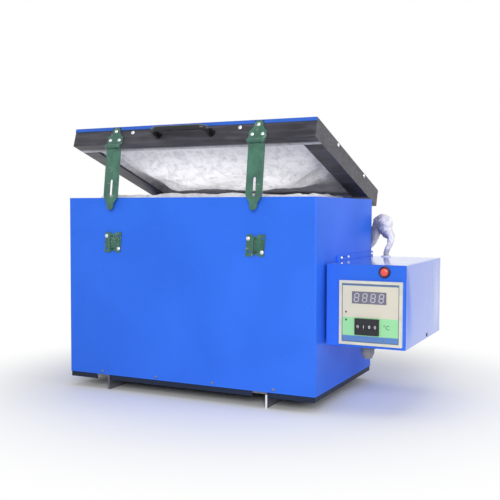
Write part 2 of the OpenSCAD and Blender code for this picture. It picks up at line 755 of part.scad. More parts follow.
// Soft blanket: one skin over a grid of columns and rows. The outer rows make the slab that lies on
// the frame's flange, and the inner ones make the underside that bulges into the chamber.
pad_play = side_gap;
pad_x0 = lid_x0 + frame_leg + pad_play;
pad_x1 = lid_x1 - frame_leg - pad_play;
pad_y0 = lid_y0 + frame_leg + pad_play;
pad_y1 = lid_y1 - frame_leg - pad_play;
slab_x0 = lid_x0 + frame_t + sheet_t + pad_play;
slab_x1 = lid_x1 - frame_t - sheet_t - pad_play;
slab_y0 = lid_y0 + frame_t + pad_play;
slab_y1 = lid_y1 - frame_t - pad_play;
slab_z = lid_z + frame_t + pad_play;
pad_edge_z = body_h + rim_swell + rim_wave + 1.6;
pad_flange_z = slab_z + 0.4;
crown_out = lid_inset + frame_leg + 1;
pad_lines = [crown_out, crown_out + 3, chamber_x + 1, chamber_x + 7];
pad_nx = 20;
pad_ny = 13;
function mirrored(list, size) = [for (k = [len(list) - 1:-1:0]) size - list[k]];
function between(a, b, n) = [for (k = [1:n - 1]) a + (b - a) * k / n];
pad_xs = concat([slab_x0, pad_x0, pad_x0 + 0.4], pad_lines,
    between(pad_lines[3], body_w - pad_lines[3], pad_nx), mirrored(pad_lines, body_w),
    [pad_x1 - 0.4, pad_x1, slab_x1]);
pad_ys = concat([slab_y0, pad_y0, pad_y0 + 0.4], pad_lines,
    between(pad_lines[3], body_d - pad_lines[3], pad_ny), mirrored(pad_lines, body_d),
    [body_d - crown_out + 25, pad_y1 - 0.4, pad_y1, slab_y1]);
pad_cols = len(pad_xs) - 1;
pad_rows = len(pad_ys) - 1;
function ease(t) = let (c = max(0, min(1, t))) c * c * (3 - 2 * c);
function pad_depth(x, y) = let (in_x = min(x, body_w - x) - chamber_x - 5,
    in_y = min(y, body_d - y) - chamber_x - 5)
    pad_bulge * ease(in_x / 55) * ease(in_y / 45) * (0.86 + 0.14 * sin(x * 2.1 + y * 3.3));
function pad_height(x, y) = min(x, body_w - x, y, body_d - y) <= crown_out ? pad_flange_z
    : pad_edge_z - pad_depth(x, y);
function pad_low(i, j) = min(i, pad_cols - i, j, pad_rows - j) < 2 ? slab_z
    : pad_height(pad_xs[i], pad_ys[j]);
function pad_edge(n) = n < pad_cols ? [n, 0] : n < pad_cols + pad_rows ? [pad_cols, n - pad_cols]
    : n < 2 * pad_cols + pad_rows ? [2 * pad_cols + pad_rows - n, pad_rows]
    : [0, 2 * (pad_cols + pad_rows) - n];
pad_around = 2 * (pad_cols + pad_rows);
module lid_pad() color(fibre) on_lid() polyhedron(
    points = concat(
        [for (i = [0:pad_cols], j = [0:pad_rows]) [pad_xs[i], pad_ys[j], pad_low(i, j)]],
        [for (n = [0:pad_around - 1]) let (spot = pad_edge(n))
            [pad_xs[spot[0]], pad_ys[spot[1]], cover_z]],
        [[body_w / 2, body_d / 2, cover_z]]),
    faces = let (row = pad_rows + 1, top = (pad_cols + 1) * row) concat(
        [for (i = [0:pad_cols - 1], j = [0:pad_rows - 1]) let (a = i * row + j)
            for (tri = [[a, a + row, a + row + 1], [a, a + row + 1, a + 1]]) tri],
        [for (n = [0:pad_around - 1]) [top + (n + 1) % pad_around, top + n, top + pad_around]],
        [for (n = [0:pad_around - 1]) let (m = (n + 1) % pad_around, p = pad_edge(n),
            q = pad_edge(m), a = p[0] * row + p[1], b = q[0] * row + q[1])
            for (tri = [[a, top + n, top + m], [a, top + m, b]]) tri]),
    convexity = 10);

module lid_rivets() color(bright) on_lid() {
    at_front_rivets() rivet(frame_t);
    at_side_rivets() rivet(frame_t + sheet_t);
}

// Bow handle: two legs, two bends and a grip, with a washer and a threaded end on each leg
bend_r = 12;
module at_handle_ends() for (side = [-1, 1])
    translate([front_mid + side * (handle_w - handle_d) / 2, lid_y0, grip_z]) face_front()
        children();
module lid_handle() color(black) on_lid() {
    half = (handle_w - handle_d) / 2;
    leg_l = handle_reach - handle_d / 2 - bend_r;
    at_handle_ends() {
        translate([0, 0, -frame_t]) cylinder(d = 5, h = frame_t + 1);
        cylinder(d = handle_d, h = leg_l);
        cylinder(d = handle_d + 5, h = 2);
    }
    for (side = [0, 1]) translate([front_mid, 0, grip_z]) mirror([side, 0, 0])
        translate([half - bend_r, lid_y0 - leg_l, 0]) rotate([0, 0, -90])
            rotate_extrude(angle = 90) translate([bend_r, 0]) circle(d = handle_d);
    translate([front_mid - half + bend_r, grip_y, grip_z]) face_right()
        cylinder(d = handle_d, h = 2 * (half - bend_r));
}

// Hasps
module hasp_leaves() color(green) on_lid() for (x = hasp_x) difference() {
    translate([x, hasp_y, hasp_z]) {
        translate([0, hasp_r, 0]) rotate([90, 0, 0]) linear_extrude(hasp_t) polygon([
            [-hasp_w / 2, hasp_r + 0.6], [hasp_w / 2, hasp_r + 0.6], [hasp_w / 2, shoulder],
            [hasp_w / 2 - 4, shoulder + 3], [leaf_neck, shoulder + 9], [leaf_neck - 1, hasp_top - 2],
            [4.5, hasp_top], [-4.5, hasp_top], [1 - leaf_neck, hasp_top - 2], [-leaf_neck, shoulder + 9],
            [4 - hasp_w / 2, shoulder + 3], [-hasp_w / 2, shoulder]]);
        for (side = [0, 1]) mirror([side, 0, 0]) {
            block([hasp_w / 2 - eye_l, hasp_r - hasp_t, 0], [hasp_w / 2, hasp_r, hasp_r + 1]);
            translate([hasp_w / 2 - eye_l, 0, 0]) face_right() cylinder(r = hasp_r, h = eye_l);
        }
    }
    translate([x - hasp_w, hasp_y, hasp_z]) face_right()
        cylinder(d = pin_d + 2 * pin_play, h = 2 * hasp_w);
    at_hasp_rivets() hole(hasp_hole_d);
}

module hasp_rivets() color(bright) on_lid() at_hasp_rivets() rivet(hasp_t + frame_t, 5.5, hasp_hole_d);

// Puts a piece drawn round a hasp's pin where the open lid holds that pin
module on_pin(side) placed()
    translate([hasp_x[side], rest_y(hasp_y, hasp_z), rest_z(hasp_y, hasp_z)])
        rotate([-strap_lean, 0, 0]) children();

module hasp_pin(side) color(steel) on_pin(side)
    translate([-hasp_w / 2 - 1, 0, 0]) face_right() cylinder(d = pin_d, h = hasp_w + 2);
module hasp_pin_left() hasp_pin(0);
module hasp_pin_right() hasp_pin(1);

module hasp_strap(side) color(green) on_pin(side) difference() {
    half = hasp_w / 2 - 1;
    tongue = 6.5;
    eye_half = hasp_w / 2 - eye_l - side_gap;
    union() {
        translate([0, hasp_r, 0]) rotate([90, 0, 0]) linear_extrude(hasp_t) {
            polygon([[-half, -hasp_r - 1.2], [-half, 24 - strap_l], [-half + 3, 17 - strap_l],
                [-tongue, 11 - strap_l], [-tongue, tongue - strap_l], [tongue, tongue - strap_l],
                [tongue, 11 - strap_l], [half - 3, 17 - strap_l], [half, 24 - strap_l],
                [half, -hasp_r - 1.2]]);
            translate([0, tongue - strap_l]) circle(r = tongue);
        }
        block([-eye_half, hasp_r - hasp_t, -hasp_r - 2], [eye_half, hasp_r, 0]);
        translate([-eye_half, 0, 0]) face_right() cylinder(r = hasp_r, h = 2 * eye_half);
    }
    translate([-hasp_w, 0, 0]) face_right() cylinder(d = pin_d + 2 * pin_play, h = 2 * hasp_w);
    for (z = [-slot_top - slot_w / 2, -slot_top - slot_l + slot_w / 2])
        translate([0, 0, z]) face_rear() cylinder(d = slot_w, h = 20, center = true);
    block([-slot_w / 2, 0, -slot_top - slot_l + slot_w / 2],
        [slot_w / 2, 10, -slot_top - slot_w / 2]);
}
module hasp_strap_left() hasp_strap(0);
module hasp_strap_right() hasp_strap(1);

module staples() color(green) placed() for (x = hasp_x) difference() {
    union() {
        translate([x, 0, staple_z]) rotate([90, 0, 0]) linear_extrude(staple_t) polygon([
            [-staple_w / 2, -staple_h / 2], [-5, -staple_h / 2], [-3.5, 3 - staple_h / 2],
            [3.5, 3 - staple_h / 2], [5, -staple_h / 2], [staple_w / 2 - 3, -staple_h / 2],
            [staple_w / 2, staple_h / 2], [5, staple_h / 2], [3.5, staple_h / 2 - 3],
            [-3.5, staple_h / 2 - 3], [-5, staple_h / 2], [3 - staple_w / 2, staple_h / 2]]);
        block([x - loop_w / 2, -loop_reach, staple_z - loop_h / 2],
            [x + loop_w / 2, 0, staple_z + loop_h / 2]);
    }
    block([x - loop_w, loop_t - loop_reach, staple_z - loop_h / 2 + loop_t],
        [x + loop_w, -staple_t, staple_z + loop_h / 2 - loop_t]);
    for (spot = staple_holes)
        translate([x + spot[0], 0, staple_z + spot[1]]) face_front() hole(screw_d);
}

module staple_screws() color(bright) placed()
    at_staple_screws() pan_screw(staple_t + sheet_t + screw_past);

// Control box
module mounting_plate() color(blue) placed() difference() {
    block([body_w, plate_y0, box_up - plate_low], [box_x0, plate_y1, box_top + plate_lip]);
    at_plate_screws() hole(screw_d);
}

module mounting_screws() color(bright) placed()
    at_plate_screws() pan_screw(plate_t + sheet_t + screw_past, 6, 1.8);

module box_chassis() color(blue) placed() difference() {
    union() {
        block([panel_x0, box_back, box_up], [panel_x1, box_back + panel_t, panel_top]);
        block([floor_x0, box_back, box_up], [floor_x1, box_rear, box_up + panel_t]);
        block([floor_x0, box_rear - panel_t, box_up],
            [floor_x1, box_rear, box_top - box_sheet - 0.2]);
        for (x = [floor_x0, floor_x1 - panel_t])
            block([x, box_back, box_up], [x + panel_t, box_rear, box_up + flange_h]);
        block([floor_x0, box_back, panel_top - panel_t - 1],
            [floor_x1, box_back + 12, panel_top - 1]);
    }
    translate([bezel_x + case_in, box_back - 5, bezel_z + case_in])
        cube([bezel - 2 * case_in, 15, bezel - 2 * case_in]);
    translate([button_x, box_back, button_z]) face_front() hole(barrel_d, 4);
    translate([button_x, box_back + panel_t, button_z]) face_rear() cylinder(d = ring_d + 2, h = 15);
    translate([gland_x, gland_y, box_up]) hole(stub_d, 4);
    at_box_screws() hole(screw_d, 5);
}

module box_cover() color(blue) placed() difference() {
    union() {
        difference() {
            block([box_x0, box_back + panel_t + cover_back, box_up], [box_x1, box_rear, box_top]);
            block([box_x0 + box_sheet, box_back, box_up - 1],
                [box_x1 - box_sheet, box_rear + 1, box_top - box_sheet]);
        }
        block([box_x0, box_rear, box_top - 16], [box_x1, box_rear + box_sheet, box_top]);
    }
    at_box_screws() hole(screw_d, 5);
    translate(box_port) cylinder(d = lead_d + 2 * bush_wall, h = 10, center = true);
}

module box_cover_screws() color(black) placed()
    at_box_screws() pan_screw(4, 6.5, box_screw_head);

module controller_case() color(cream) placed() difference() {
    union() {
        block([bezel_x, bezel_y, bezel_z], [bezel_x + bezel, box_back, bezel_z + bezel]);
        block([bezel_x + case_in + 0.2, box_back - 1, bezel_z + case_in + 0.2],
            [bezel_x + bezel - case_in - 0.2, box_back + case_l, bezel_z + bezel - case_in - 0.2]);
    }
    block([bezel_x + bezel_rim, bezel_y - 1, bezel_z + bezel_rim],
        [bezel_x + bezel - bezel_rim, face_y + face_t, bezel_z + bezel - bezel_rim]);
    block([wheels_x - 0.1, bezel_y, wheels_z - 0.1],
        [wheels_x + wheels_w + 0.1, wheels_rear, wheels_z + wheels_h + 0.1]);
}

module controller_face() color("#c6d6b4") placed() difference() {
    block([bezel_x + bezel_rim + 0.1, face_y, bezel_z + bezel_rim + 0.1],
        [bezel_x + bezel - bezel_rim - 0.1, face_y + face_t, bezel_z + bezel - bezel_rim - 0.1]);
    block([wheels_x - 0.1, face_y - 1, wheels_z - 0.1],
        [wheels_x + wheels_w + 0.1, face_y + 5, wheels_z + wheels_h + 0.1]);
    block([window_x - 0.1, face_y - 1, window_z - 0.1],
        [window_x + window_w + 0.1, face_y + 5, window_z + window_h + 0.1]);
    for (z = lamp_z) translate([lamp_x, face_y, z]) face_front() hole(lamp_d, 4);
}

module display_window() color("#4a4d55") placed()
    block([window_x, face_y - 0.4, window_z],
        [window_x + window_w, face_y + face_t, window_z + window_h]);

module indicator_lamps() color("#8d4a3c") placed()
    for (z = lamp_z) translate([lamp_x, face_y + face_t, z]) face_front() {
        cylinder(d = lamp_d, h = face_t + 0.3);
        translate([0, 0, face_t + 0.3]) intersection() {
            translate([0, 0, -0.6]) sphere(d = lamp_d + 0.4);
            cylinder(d = lamp_d, h = 2);
        }
    }

module controller_clamps() color(black) placed()
    for (x = [bezel_x + case_in + 0.2 - clamp_t, bezel_x + bezel - case_in - 0.2])
        block([x, box_back + panel_t, bezel_z + (bezel - clamp_h) / 2],
            [x + clamp_t, box_back + panel_t + clamp_l, bezel_z + (bezel + clamp_h) / 2]);

module thumbwheel_frame() color(black) placed() difference() {
    block([wheels_x, wheels_y, wheels_z], [wheels_x + wheels_w, wheels_rear, wheels_z + wheels_h]);
    for (i = [0:3]) translate([wheels_x + (i + 1) * wheel_step - wheel_slot, 0, wheel_z]) {
        block([0, wheels_y - 1, -window_half], [wheel_slot, wheel_y, window_half]);
        block([0, wheels_y + wheels_wall, -wheel_d / 2 - side_gap],
            [wheel_slot, wheels_rear - 1.5, wheel_d / 2 + side_gap]);
    }
    translate([0, wheel_y, wheel_z]) face_right()
        cylinder(d = axle_d + 2 * screw_play, h = box_x1);
}

module wheel_axle() color(steel) placed()
    translate([wheels_x + 0.5, wheel_y, wheel_z]) face_right()
        cylinder(d = axle_d, h = wheels_w - 1);

module digit_wheel(i) color(black) placed()
    translate([wheels_x + i * wheel_step - wheel_slot + 0.2, wheel_y, wheel_z])
        face_right() difference() {
            cylinder(d = wheel_d, h = wheel_w);
            translate([0, 0, -1]) cylinder(d = axle_d + 2 * pin_play, h = wheel_w + 2);
        }
module digit_wheel_1() digit_wheel(1);
module digit_wheel_2() digit_wheel(2);
module digit_wheel_3() digit_wheel(3);
module digit_wheel_4() digit_wheel(4);

// Along z: 0 is the panel's front face, and the cap comes out towards +z
module at_button() translate([button_x, box_back, button_z]) face_front() children();
module button_body() color(black) placed() at_button() difference() {
    union() {
        cylinder(d = ring_d, h = ring_out);
        translate([0, 0, -24]) cylinder(d = barrel_d, h = 25);
        translate([0, 0, -panel_t - 3]) cylinder(d = ring_d + 1, h = 3);
    }
    translate([0, 0, ring_out + cap_out - cap_l - cap_travel - 0.5])
        cylinder(d = cap_d + 4 * pin_play, h = 30);
}

module button_cap() color("#e0574f") placed() at_button()
    translate([0, 0, ring_out + cap_out - cap_l]) {
        cylinder(d = cap_d, h = cap_l - 1.2);
        translate([0, 0, cap_l - 1.2]) cylinder(d1 = cap_d, d2 = cap_d - 3, h = 1.2);
    }

module cable_gland() color("#a9adb0") placed() translate([gland_x, gland_y, box_up]) difference() {
    union() {
        translate([0, 0, -5]) cylinder(d = gland_hex / cos(30), h = 5, $fn = 6);
        translate([0, 0, -12]) cylinder(d = gland_hex - 2, h = 7.1);
        translate([0, 0, -gland_drop]) cylinder(d1 = gland_bore + 5, d2 = gland_hex - 2, h = 8.1);
        translate([0, 0, -1]) cylinder(d = stub_d, h = 6.2);
        translate([0, 0, panel_t]) cylinder(d = gland_hex / cos(30), h = 3.2, $fn = 6);
    }
    translate([0, 0, -gland_drop - 1]) cylinder(d = gland_bore, h = gland_drop + 10);
}

module relay_block() color("#d8d8d4") placed() difference() {
    translate([box_x0 + 32, box_rear - 85, box_up + panel_t]) cube([45, 60, 26]);
    for (y = [box_rear - 77, box_rear - 33]) translate([box_x0 + 54.5, y, box_up + panel_t + 18])
        cylinder(d = 6, h = 10);
}

outer_casing();
base_tray();
foot_left();
foot_right();
foot_screws();
casing_rivets();
insulation_floor();
insulation_long_walls();
insulation_end_walls();
fibre_rim();
heater_tubes();
tube_holders();
hearth_plate();
hearth_props();
thermocouple_sheath();
thermocouple_head();
terminal_cover();
terminal_block();
terminal_cover_screws();
lead_bundle();
lead_bushes();
hinge_body_leaves();
hinge_pins();
hinge_body_screws();
staples();
staple_screws();
lid_frame();
lid_cover();
lid_pad();
lid_rivets();
lid_handle();
hasp_leaves();
hasp_rivets();
hinge_lid_leaves();
hinge_lid_screws();
hasp_pin_left();
hasp_pin_right();
hasp_strap_left();
hasp_strap_right();
mounting_plate();
mounting_screws();
box_chassis();
box_cover();
box_cover_screws();
controller_case();
controller_face();
display_window();
indicator_lamps();
controller_clamps();
thumbwheel_frame();
wheel_axle();
digit_wheel_1();
digit_wheel_2();
digit_wheel_3();
digit_wheel_4();
button_body();
button_cap();
cable_gland();
relay_block();
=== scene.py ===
# %% [markdown]
# # A bead annealing kiln, dressed over its CAD frame
#
# The kiln is a blue sheet-steel casing lined with ceramic fibre, with a lid that stands open and a
# control box on its right side. The frame gives each part's place, so every piece below is made in
# that frame, in metres, and nothing has to be fitted by eye.

# %% Load the frame
import json
import math

import bmesh
import bpy
from mathutils import Matrix, Vector, noise


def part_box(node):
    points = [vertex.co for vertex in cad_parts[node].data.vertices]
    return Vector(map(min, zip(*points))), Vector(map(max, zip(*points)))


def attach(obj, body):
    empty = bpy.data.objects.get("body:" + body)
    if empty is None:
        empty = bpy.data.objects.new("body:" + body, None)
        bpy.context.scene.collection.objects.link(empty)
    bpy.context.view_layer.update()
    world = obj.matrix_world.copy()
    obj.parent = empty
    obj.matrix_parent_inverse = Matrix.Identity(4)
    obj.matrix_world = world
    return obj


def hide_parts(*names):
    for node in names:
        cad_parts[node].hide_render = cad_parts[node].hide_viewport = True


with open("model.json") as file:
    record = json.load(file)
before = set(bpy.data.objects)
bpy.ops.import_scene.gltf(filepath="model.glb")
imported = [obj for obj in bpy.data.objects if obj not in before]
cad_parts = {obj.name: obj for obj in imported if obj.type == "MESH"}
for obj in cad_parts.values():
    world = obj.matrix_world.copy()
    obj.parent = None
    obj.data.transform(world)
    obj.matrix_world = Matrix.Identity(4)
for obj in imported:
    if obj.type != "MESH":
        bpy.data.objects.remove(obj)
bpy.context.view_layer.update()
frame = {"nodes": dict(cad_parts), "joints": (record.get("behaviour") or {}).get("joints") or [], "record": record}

scene = bpy.context.scene
joints = {joint["name"]: joint for joint in frame["joints"]}

# %% [markdown]
# ## Places
#
# The casing's front left lower corner is a natural zero for someone who builds a kiln, so places are
# written in millimetres from there. Pieces on the lid are drawn with the lid closed, and one turn
# about the hinge pins brings them to the slant in the photograph.

# %% Places in millimetres
CASING = Vector((455, 280, 300))
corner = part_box("outer_casing")[0]
hinge = joints["lid_hinge"]
pins = Vector(hinge["pos_m"])
lid_turn = (Matrix.Translation(pins) @ Matrix.Rotation(math.radians(hinge["range_deg"][0]), 4, "X")
            @ Matrix.Translation(-pins))


def at(x, y, z):
    return corner + Vector((x, y, z)) / 1000


def on_lid(x, y, z):
    return lid_turn @ at(x, y, z)


def put(name, data):
    thing = bpy.data.objects.new(name, data)
    scene.collection.objects.link(thing)
    return thing


print("lid slant", hinge["range_deg"][0], "hinge pins", [round(v, 4) for v in pins])

# %% [markdown]
# ## Camera
#
# The camera stands low in front of the kiln, a little to its right. Its place, turn and lens come from
# a fit to the casing's corners and to the controller's square rim, because both have known sizes.

# %% Camera
yaw, pitch, roll = 0.448, 0.048, 0.003
EYE, FOCAL_PIXELS, PICTURE_PIXELS, SENSOR = (870.1, -1090.1, 276.5), 786.5, 500, 36
forward = Vector((-math.sin(yaw) * math.cos(pitch), math.cos(yaw) * math.cos(pitch), -math.sin(pitch)))
level = Vector((math.cos(yaw), math.sin(yaw), 0))
upright = level.cross(forward)
right = level * math.cos(roll) + upright * math.sin(roll)
up = upright * math.cos(roll) - level * math.sin(roll)
lens = bpy.data.cameras.new("photo_camera")
lens.sensor_width, lens.lens, lens.clip_start = SENSOR, FOCAL_PIXELS / PICTURE_PIXELS * SENSOR, 0.05
camera = put("photo_camera", lens)
camera.matrix_world = Matrix.Translation(at(*EYE)) @ Matrix(
    [list(row) for row in zip(right, up, -forward)]).to_4x4()
scene.camera = camera
scene.view_settings.view_transform = "Standard"
print("camera", [round(v, 3) for v in camera.location], "lens", round(lens.lens, 2))

# %% [markdown]
# ## Node trees
#
# Finishes and repeated pieces are both node trees. One helper adds a node, sets its options and wires
# its inputs, and short ones stand for the commonest nodes, so each tree below reads as a list of what
# it does.


# %% A node in a tree
def settle(thing, **values):
    for name, value in values.items():
        setattr(thing, name, value)


def add(tree, kind, inputs=(), **options):
    node = tree.nodes.new(kind)
    settle(node, **options)
    for name, value in dict(inputs).items():
        if isinstance(value, bpy.types.NodeSocket):
            tree.links.new(value, node.inputs[name])
        else:
            node.inputs[name].default_value = value
    return node


def first(tree, kind, inputs=(), **options):
    return add(tree, kind, inputs, **options).outputs[0]


def geo(tree, kind, inputs=(), **options):
    return first(tree, "GeometryNode" + kind, inputs, **options)


def maths(tree, rule, *values):
    return first(tree, "ShaderNodeMath", enumerate(values), operation=rule)


def mix(tree, share, under, over, **options):
    return add(tree, "ShaderNodeMix", {0: share, 6: under, 7: over}, data_type="RGBA", **options).outputs[2]


def vector(tree, *values):
    return first(tree, "ShaderNodeCombineXYZ", enumerate(values))


def split(tree, value):
    return add(tree, "ShaderNodeSeparateXYZ", {0: value}).outputs


def own_place(tree):
    return add(tree, "ShaderNodeTexCoord").outputs["Object"]


def tone(red, green, blue):
    steps = [c / 255 for c in (red, green, blue)]
    return [c / 12.92 if c < 0.04045 else ((c + 0.055) / 1.055) ** 2.4 for c in steps] + [1]


# %% [markdown]
# ## Floor, air and lamps
#
# The photograph shows the kiln on white. A pale floor keeps the shadow and turns to plain white away
# from the kiln, and the air is white only to the eye and in reflections, so it lights nothing by
# itself beyond a soft fill. Large lamps make the soft edges of a studio.

# %% White air
air = bpy.data.worlds.new("studio_air")
scene.world = air
air.use_nodes = True
tree = air.node_tree
tree.nodes.clear()


def seen_white(tree):
    rays = add(tree, "ShaderNodeLightPath").outputs
    seen = maths(tree, "MAXIMUM", rays["Is Camera Ray"], rays["Is Glossy Ray"])
    return maths(tree, "MAXIMUM", seen, rays["Is Transmission Ray"])


soft = first(tree, "ShaderNodeBackground", {"Color": (0.93, 0.96, 1, 1), "Strength": 0.32})
white = first(tree, "ShaderNodeBackground", {"Color": (1, 1, 1, 1), "Strength": 1})
blend = add(tree, "ShaderNodeMixShader", {0: seen_white(tree), 1: soft, 2: white})
add(tree, "ShaderNodeOutputWorld", {"Surface": blend.outputs[0]})

# %% Pale floor
REACH, SHADOW_END, WHITE_START = 6, 0.26, 0.62
floor_mesh = bpy.data.meshes.new("pale_floor")
floor_mesh.from_pydata([(-REACH, -REACH, 0), (REACH, -REACH, 0), (REACH, REACH, 0), (-REACH, REACH, 0)],
                       [], [(0, 1, 2, 3)])
floor = put("pale_floor", floor_mesh)
card = bpy.data.materials.new("floor_card")
card.use_nodes = True
tree = card.node_tree
tree.nodes.clear()
away = add(tree, "ShaderNodeVectorMath", {0: own_place(tree)}, operation="LENGTH").outputs["Value"]
fade = first(tree, "ShaderNodeMapRange", {"Value": away, "From Min": SHADOW_END, "From Max": WHITE_START},
             interpolation_type="SMOOTHSTEP")
matt = first(tree, "ShaderNodeBsdfDiffuse", {"Color": (0.9, 0.9, 0.9, 1)})
glow = first(tree, "ShaderNodeEmission", {"Color": (1, 1, 1, 1), "Strength": 1})
bare = maths(tree, "MULTIPLY", fade, seen_white(tree))
mixed = add(tree, "ShaderNodeMixShader", {0: bare, 1: matt, 2: glow})
add(tree, "ShaderNodeOutputMaterial", {"Surface": mixed.outputs[0]})
floor_mesh.materials.append(card)


# %% Lamps
def lamp(name, place, aim, width, height, watts):
    light = bpy.data.lights.new(name, "AREA")
    settle(light, shape="RECTANGLE", size=width, size_y=height, energy=watts)
    stand = put(name, light)
    stand.location = place
    stand.rotation_euler = (Vector(aim) - Vector(place)).to_track_quat("-Z", "Y").to_euler()
    print(name, "at", [round(v, 3) for v in place])
    return stand


lamp("key_lamp", (0.9, -2.3, 1.1), (0, 0, 0.2), 1.4, 1.0, 36)
lamp("left_lamp", (-2.2, -0.9, 1.1), (0, 0, 0.2), 1.2, 1.4, 6)
lamp("right_lamp", (2.2, 0.2, 1.3), (0, 0, 0.25), 1.2, 1.2, 19)
lamp("top_lamp", (0, 0.1, 2.4), (0, 0, 0), 1.6, 1.6, 12)

# %% [markdown]
# The blanket under the lid looks down into the chamber, where studio lamps can't reach. A small lamp
# low in the chamber, out of the camera's sight, lights it at a slant so that its folds show.

# %% Chamber lamp
chamber_lamp = lamp("chamber_lamp", at(225, 72, 262), on_lid(215, 170, 300), 0.32, 0.03, 0.15)
chamber_lamp.visible_camera = False

# %% [markdown]
# ## Finishes
#
# Every finish is procedural and reads Object coordinates, so it sits still on its piece. Sizes follow
# the real surfaces: paint has a fine orange peel about a millimetre across and cloudy changes over
# several centimetres, and fibre has short crossing threads.


# %% Patterns that finishes share
def spots(tree, scale, detail=3, stretch=(1, 1, 1), warp=0):
    place = first(tree, "ShaderNodeMapping", {"Vector": own_place(tree), "Scale": stretch})
    return add(tree, "ShaderNodeTexNoise", {"Vector": place, "Scale": scale, "Detail": detail,
                                            "Distortion": warp}).outputs["Fac"]


def shades(tree, amount, *stops, steps="LINEAR"):
    ramp = add(tree, "ShaderNodeValToRGB", {"Fac": amount})
    ramp.color_ramp.interpolation = steps
    while len(ramp.color_ramp.elements) < len(stops):
        ramp.color_ramp.elements.new(0.5)
    for mark, (where, colour) in zip(ramp.color_ramp.elements, stops):
        mark.position, mark.color = where, tone(*colour) if len(colour) == 3 else colour
    return ramp.outputs["Color"]


def levels(tree, amount, low, high):
    return first(tree, "ShaderNodeMapRange", {"Value": amount, "From Min": 0.3, "From Max": 0.7,
                                              "To Min": low, "To Max": high})


def relief(tree, shader, *layers):
    normal = None
    for height, depth in layers:
        inputs = {"Height": height, "Strength": 1, "Distance": depth}
        if normal:
            inputs["Normal"] = normal
        normal = first(tree, "ShaderNodeBump", inputs)
    tree.links.new(normal, shader.inputs["Normal"])


finishes = {}


def finish(name, **constants):
    material = bpy.data.materials.new(name)
    material.use_nodes = True
    shader = material.node_tree.nodes["Principled BSDF"]
    for socket, value in constants.items():
        shader.inputs[socket.replace("_", " ")].default_value = value
    finishes[name] = material
    return material.node_tree, shader


def wire(tree, shader, **sockets):
    for socket, value in sockets.items():
        tree.links.new(value, shader.inputs[socket.replace("_", " ")])


# %% [markdown]
# ### Paint on sheet steel
#
# The casing is folded steel with a baked blue powder coat. Stoved powder melts into a fine orange
# peel, and handling leaves faint cloudy dust. One function makes all paints on the kiln, because the
# blue, the near-black and the charcoal differ only in colour, gloss and how cloudy they are.


# %% Paints
BLACK, WHITE = (0, 0, 0, 1), (1, 1, 1, 1)


def paint(name, plain, cloudy, gloss, peel=0.00005, cloud=5, coat=0.0, specular=0.5):
    tree, shader = finish(name, Specular_IOR_Level=specular, Coat_Weight=coat, Coat_Roughness=0.08)
    clouds = spots(tree, cloud, 4, warp=0.6)
    dust_and_pale_underside = spots(tree, 230, 2)
    base = shades(tree, clouds, (0.35, cloudy), (0.62, plain))
    pale = [min(1, c + 0.10) for c in tone(*plain)[:3]] + [1]
    grains = shades(tree, dust_and_pale_underside, (0.0, BLACK), (0.70, BLACK), (0.78, (0.35, 0.35, 0.35, 1)))
    wire(tree, shader, Base_Color=mix(tree, grains, base, pale),
         Roughness=levels(tree, clouds, gloss + 0.06, gloss - 0.04))
    relief(tree, shader, (spots(tree, 700, 1), peel), (spots(tree, 9, 2), 0.0006))
    return tree, shader


paint("blue_paint", (54, 116, 238), (49, 108, 227), 0.42, specular=0.14)
# The lid's cover is the casing's blue paint, made darker here as painted shade.
paint("lid_blue", (54, 102, 200), (48, 94, 186), 0.42, specular=0.2)
paint("box_paint", (46, 108, 226), (40, 100, 216), 0.14, coat=0.7, specular=0.6, peel=0.00002)
# The base tray's dark navy is partly its own dark paint and partly painted shade under the casing's edge.
paint("dark_paint", (24, 36, 60), (20, 30, 50), 0.5, specular=0.3)
paint("black_paint", (12, 12, 14), (20, 20, 23), 0.24, cloud=40)
print("paints", sorted(finishes))

# %% [markdown]
# ### Charcoal frame paint
#
# The lid's angle iron has a charcoal coat, and lighter streaks along the bars are a painted sheen. The
# under side of its front bar is painted pale grey. Its mask is a distance along the lid's own depth, so it
# follows the lid's slant, times how far a face looks down.

# %% Charcoal with painted sheen and a pale under side
tree, shader = paint("charcoal_paint", (40, 39, 46), (62, 60, 68), 0.4, cloud=16, specular=0.35)
base = shader.inputs["Base Color"].links[0].from_socket
# Painted sheen: lighter streaks along the bars.
sheen_streaks = shades(tree, spots(tree, 60, 4, (0.22, 1, 2.2), 0.5), (0.44, BLACK), (0.72, (0.6, 0.6, 0.6, 1)))
with_sheen = mix(tree, sheen_streaks, base, tone(92, 90, 100))
lid_front, lid_depth = on_lid(0, 0, 300.5), lid_turn.to_3x3() @ Vector((0, 1, 0))
from_front = add(tree, "ShaderNodeVectorMath", {0: own_place(tree), 1: lid_front}, operation="SUBTRACT")
deep = add(tree, "ShaderNodeVectorMath", {0: from_front.outputs[0], 1: lid_depth},
           operation="DOT_PRODUCT").outputs["Value"]
near = first(tree, "ShaderNodeMapRange", {"Value": deep, "From Min": 0.009, "From Max": 0.016})
slope = split(tree, add(tree, "ShaderNodeNewGeometry").outputs["True Normal"])["Z"]
# The front bar's under side, where it faces down, is painted pale grey.
dust_and_pale_underside = levels(tree, spots(tree, 50, 5, warp=1), 0.5, 1)
for limit in (near, maths(tree, "LESS_THAN", deep, 0.0212), maths(tree, "LESS_THAN", slope, -0.7)):
    dust_and_pale_underside = maths(tree, "MULTIPLY", dust_and_pale_underside, limit)
wire(tree, shader, Base_Color=mix(tree, dust_and_pale_underside, with_sheen, tone(214, 212, 218)))

# %% [markdown]
# ### Worn green paint
#
# The hasps and hinges are stamped steel, dipped in green enamel that wears to bare metal in small
# chips. Two noises, one coarse and one fine, decide where the enamel is gone, and the same mask makes
# those chips metallic, so that they glint.

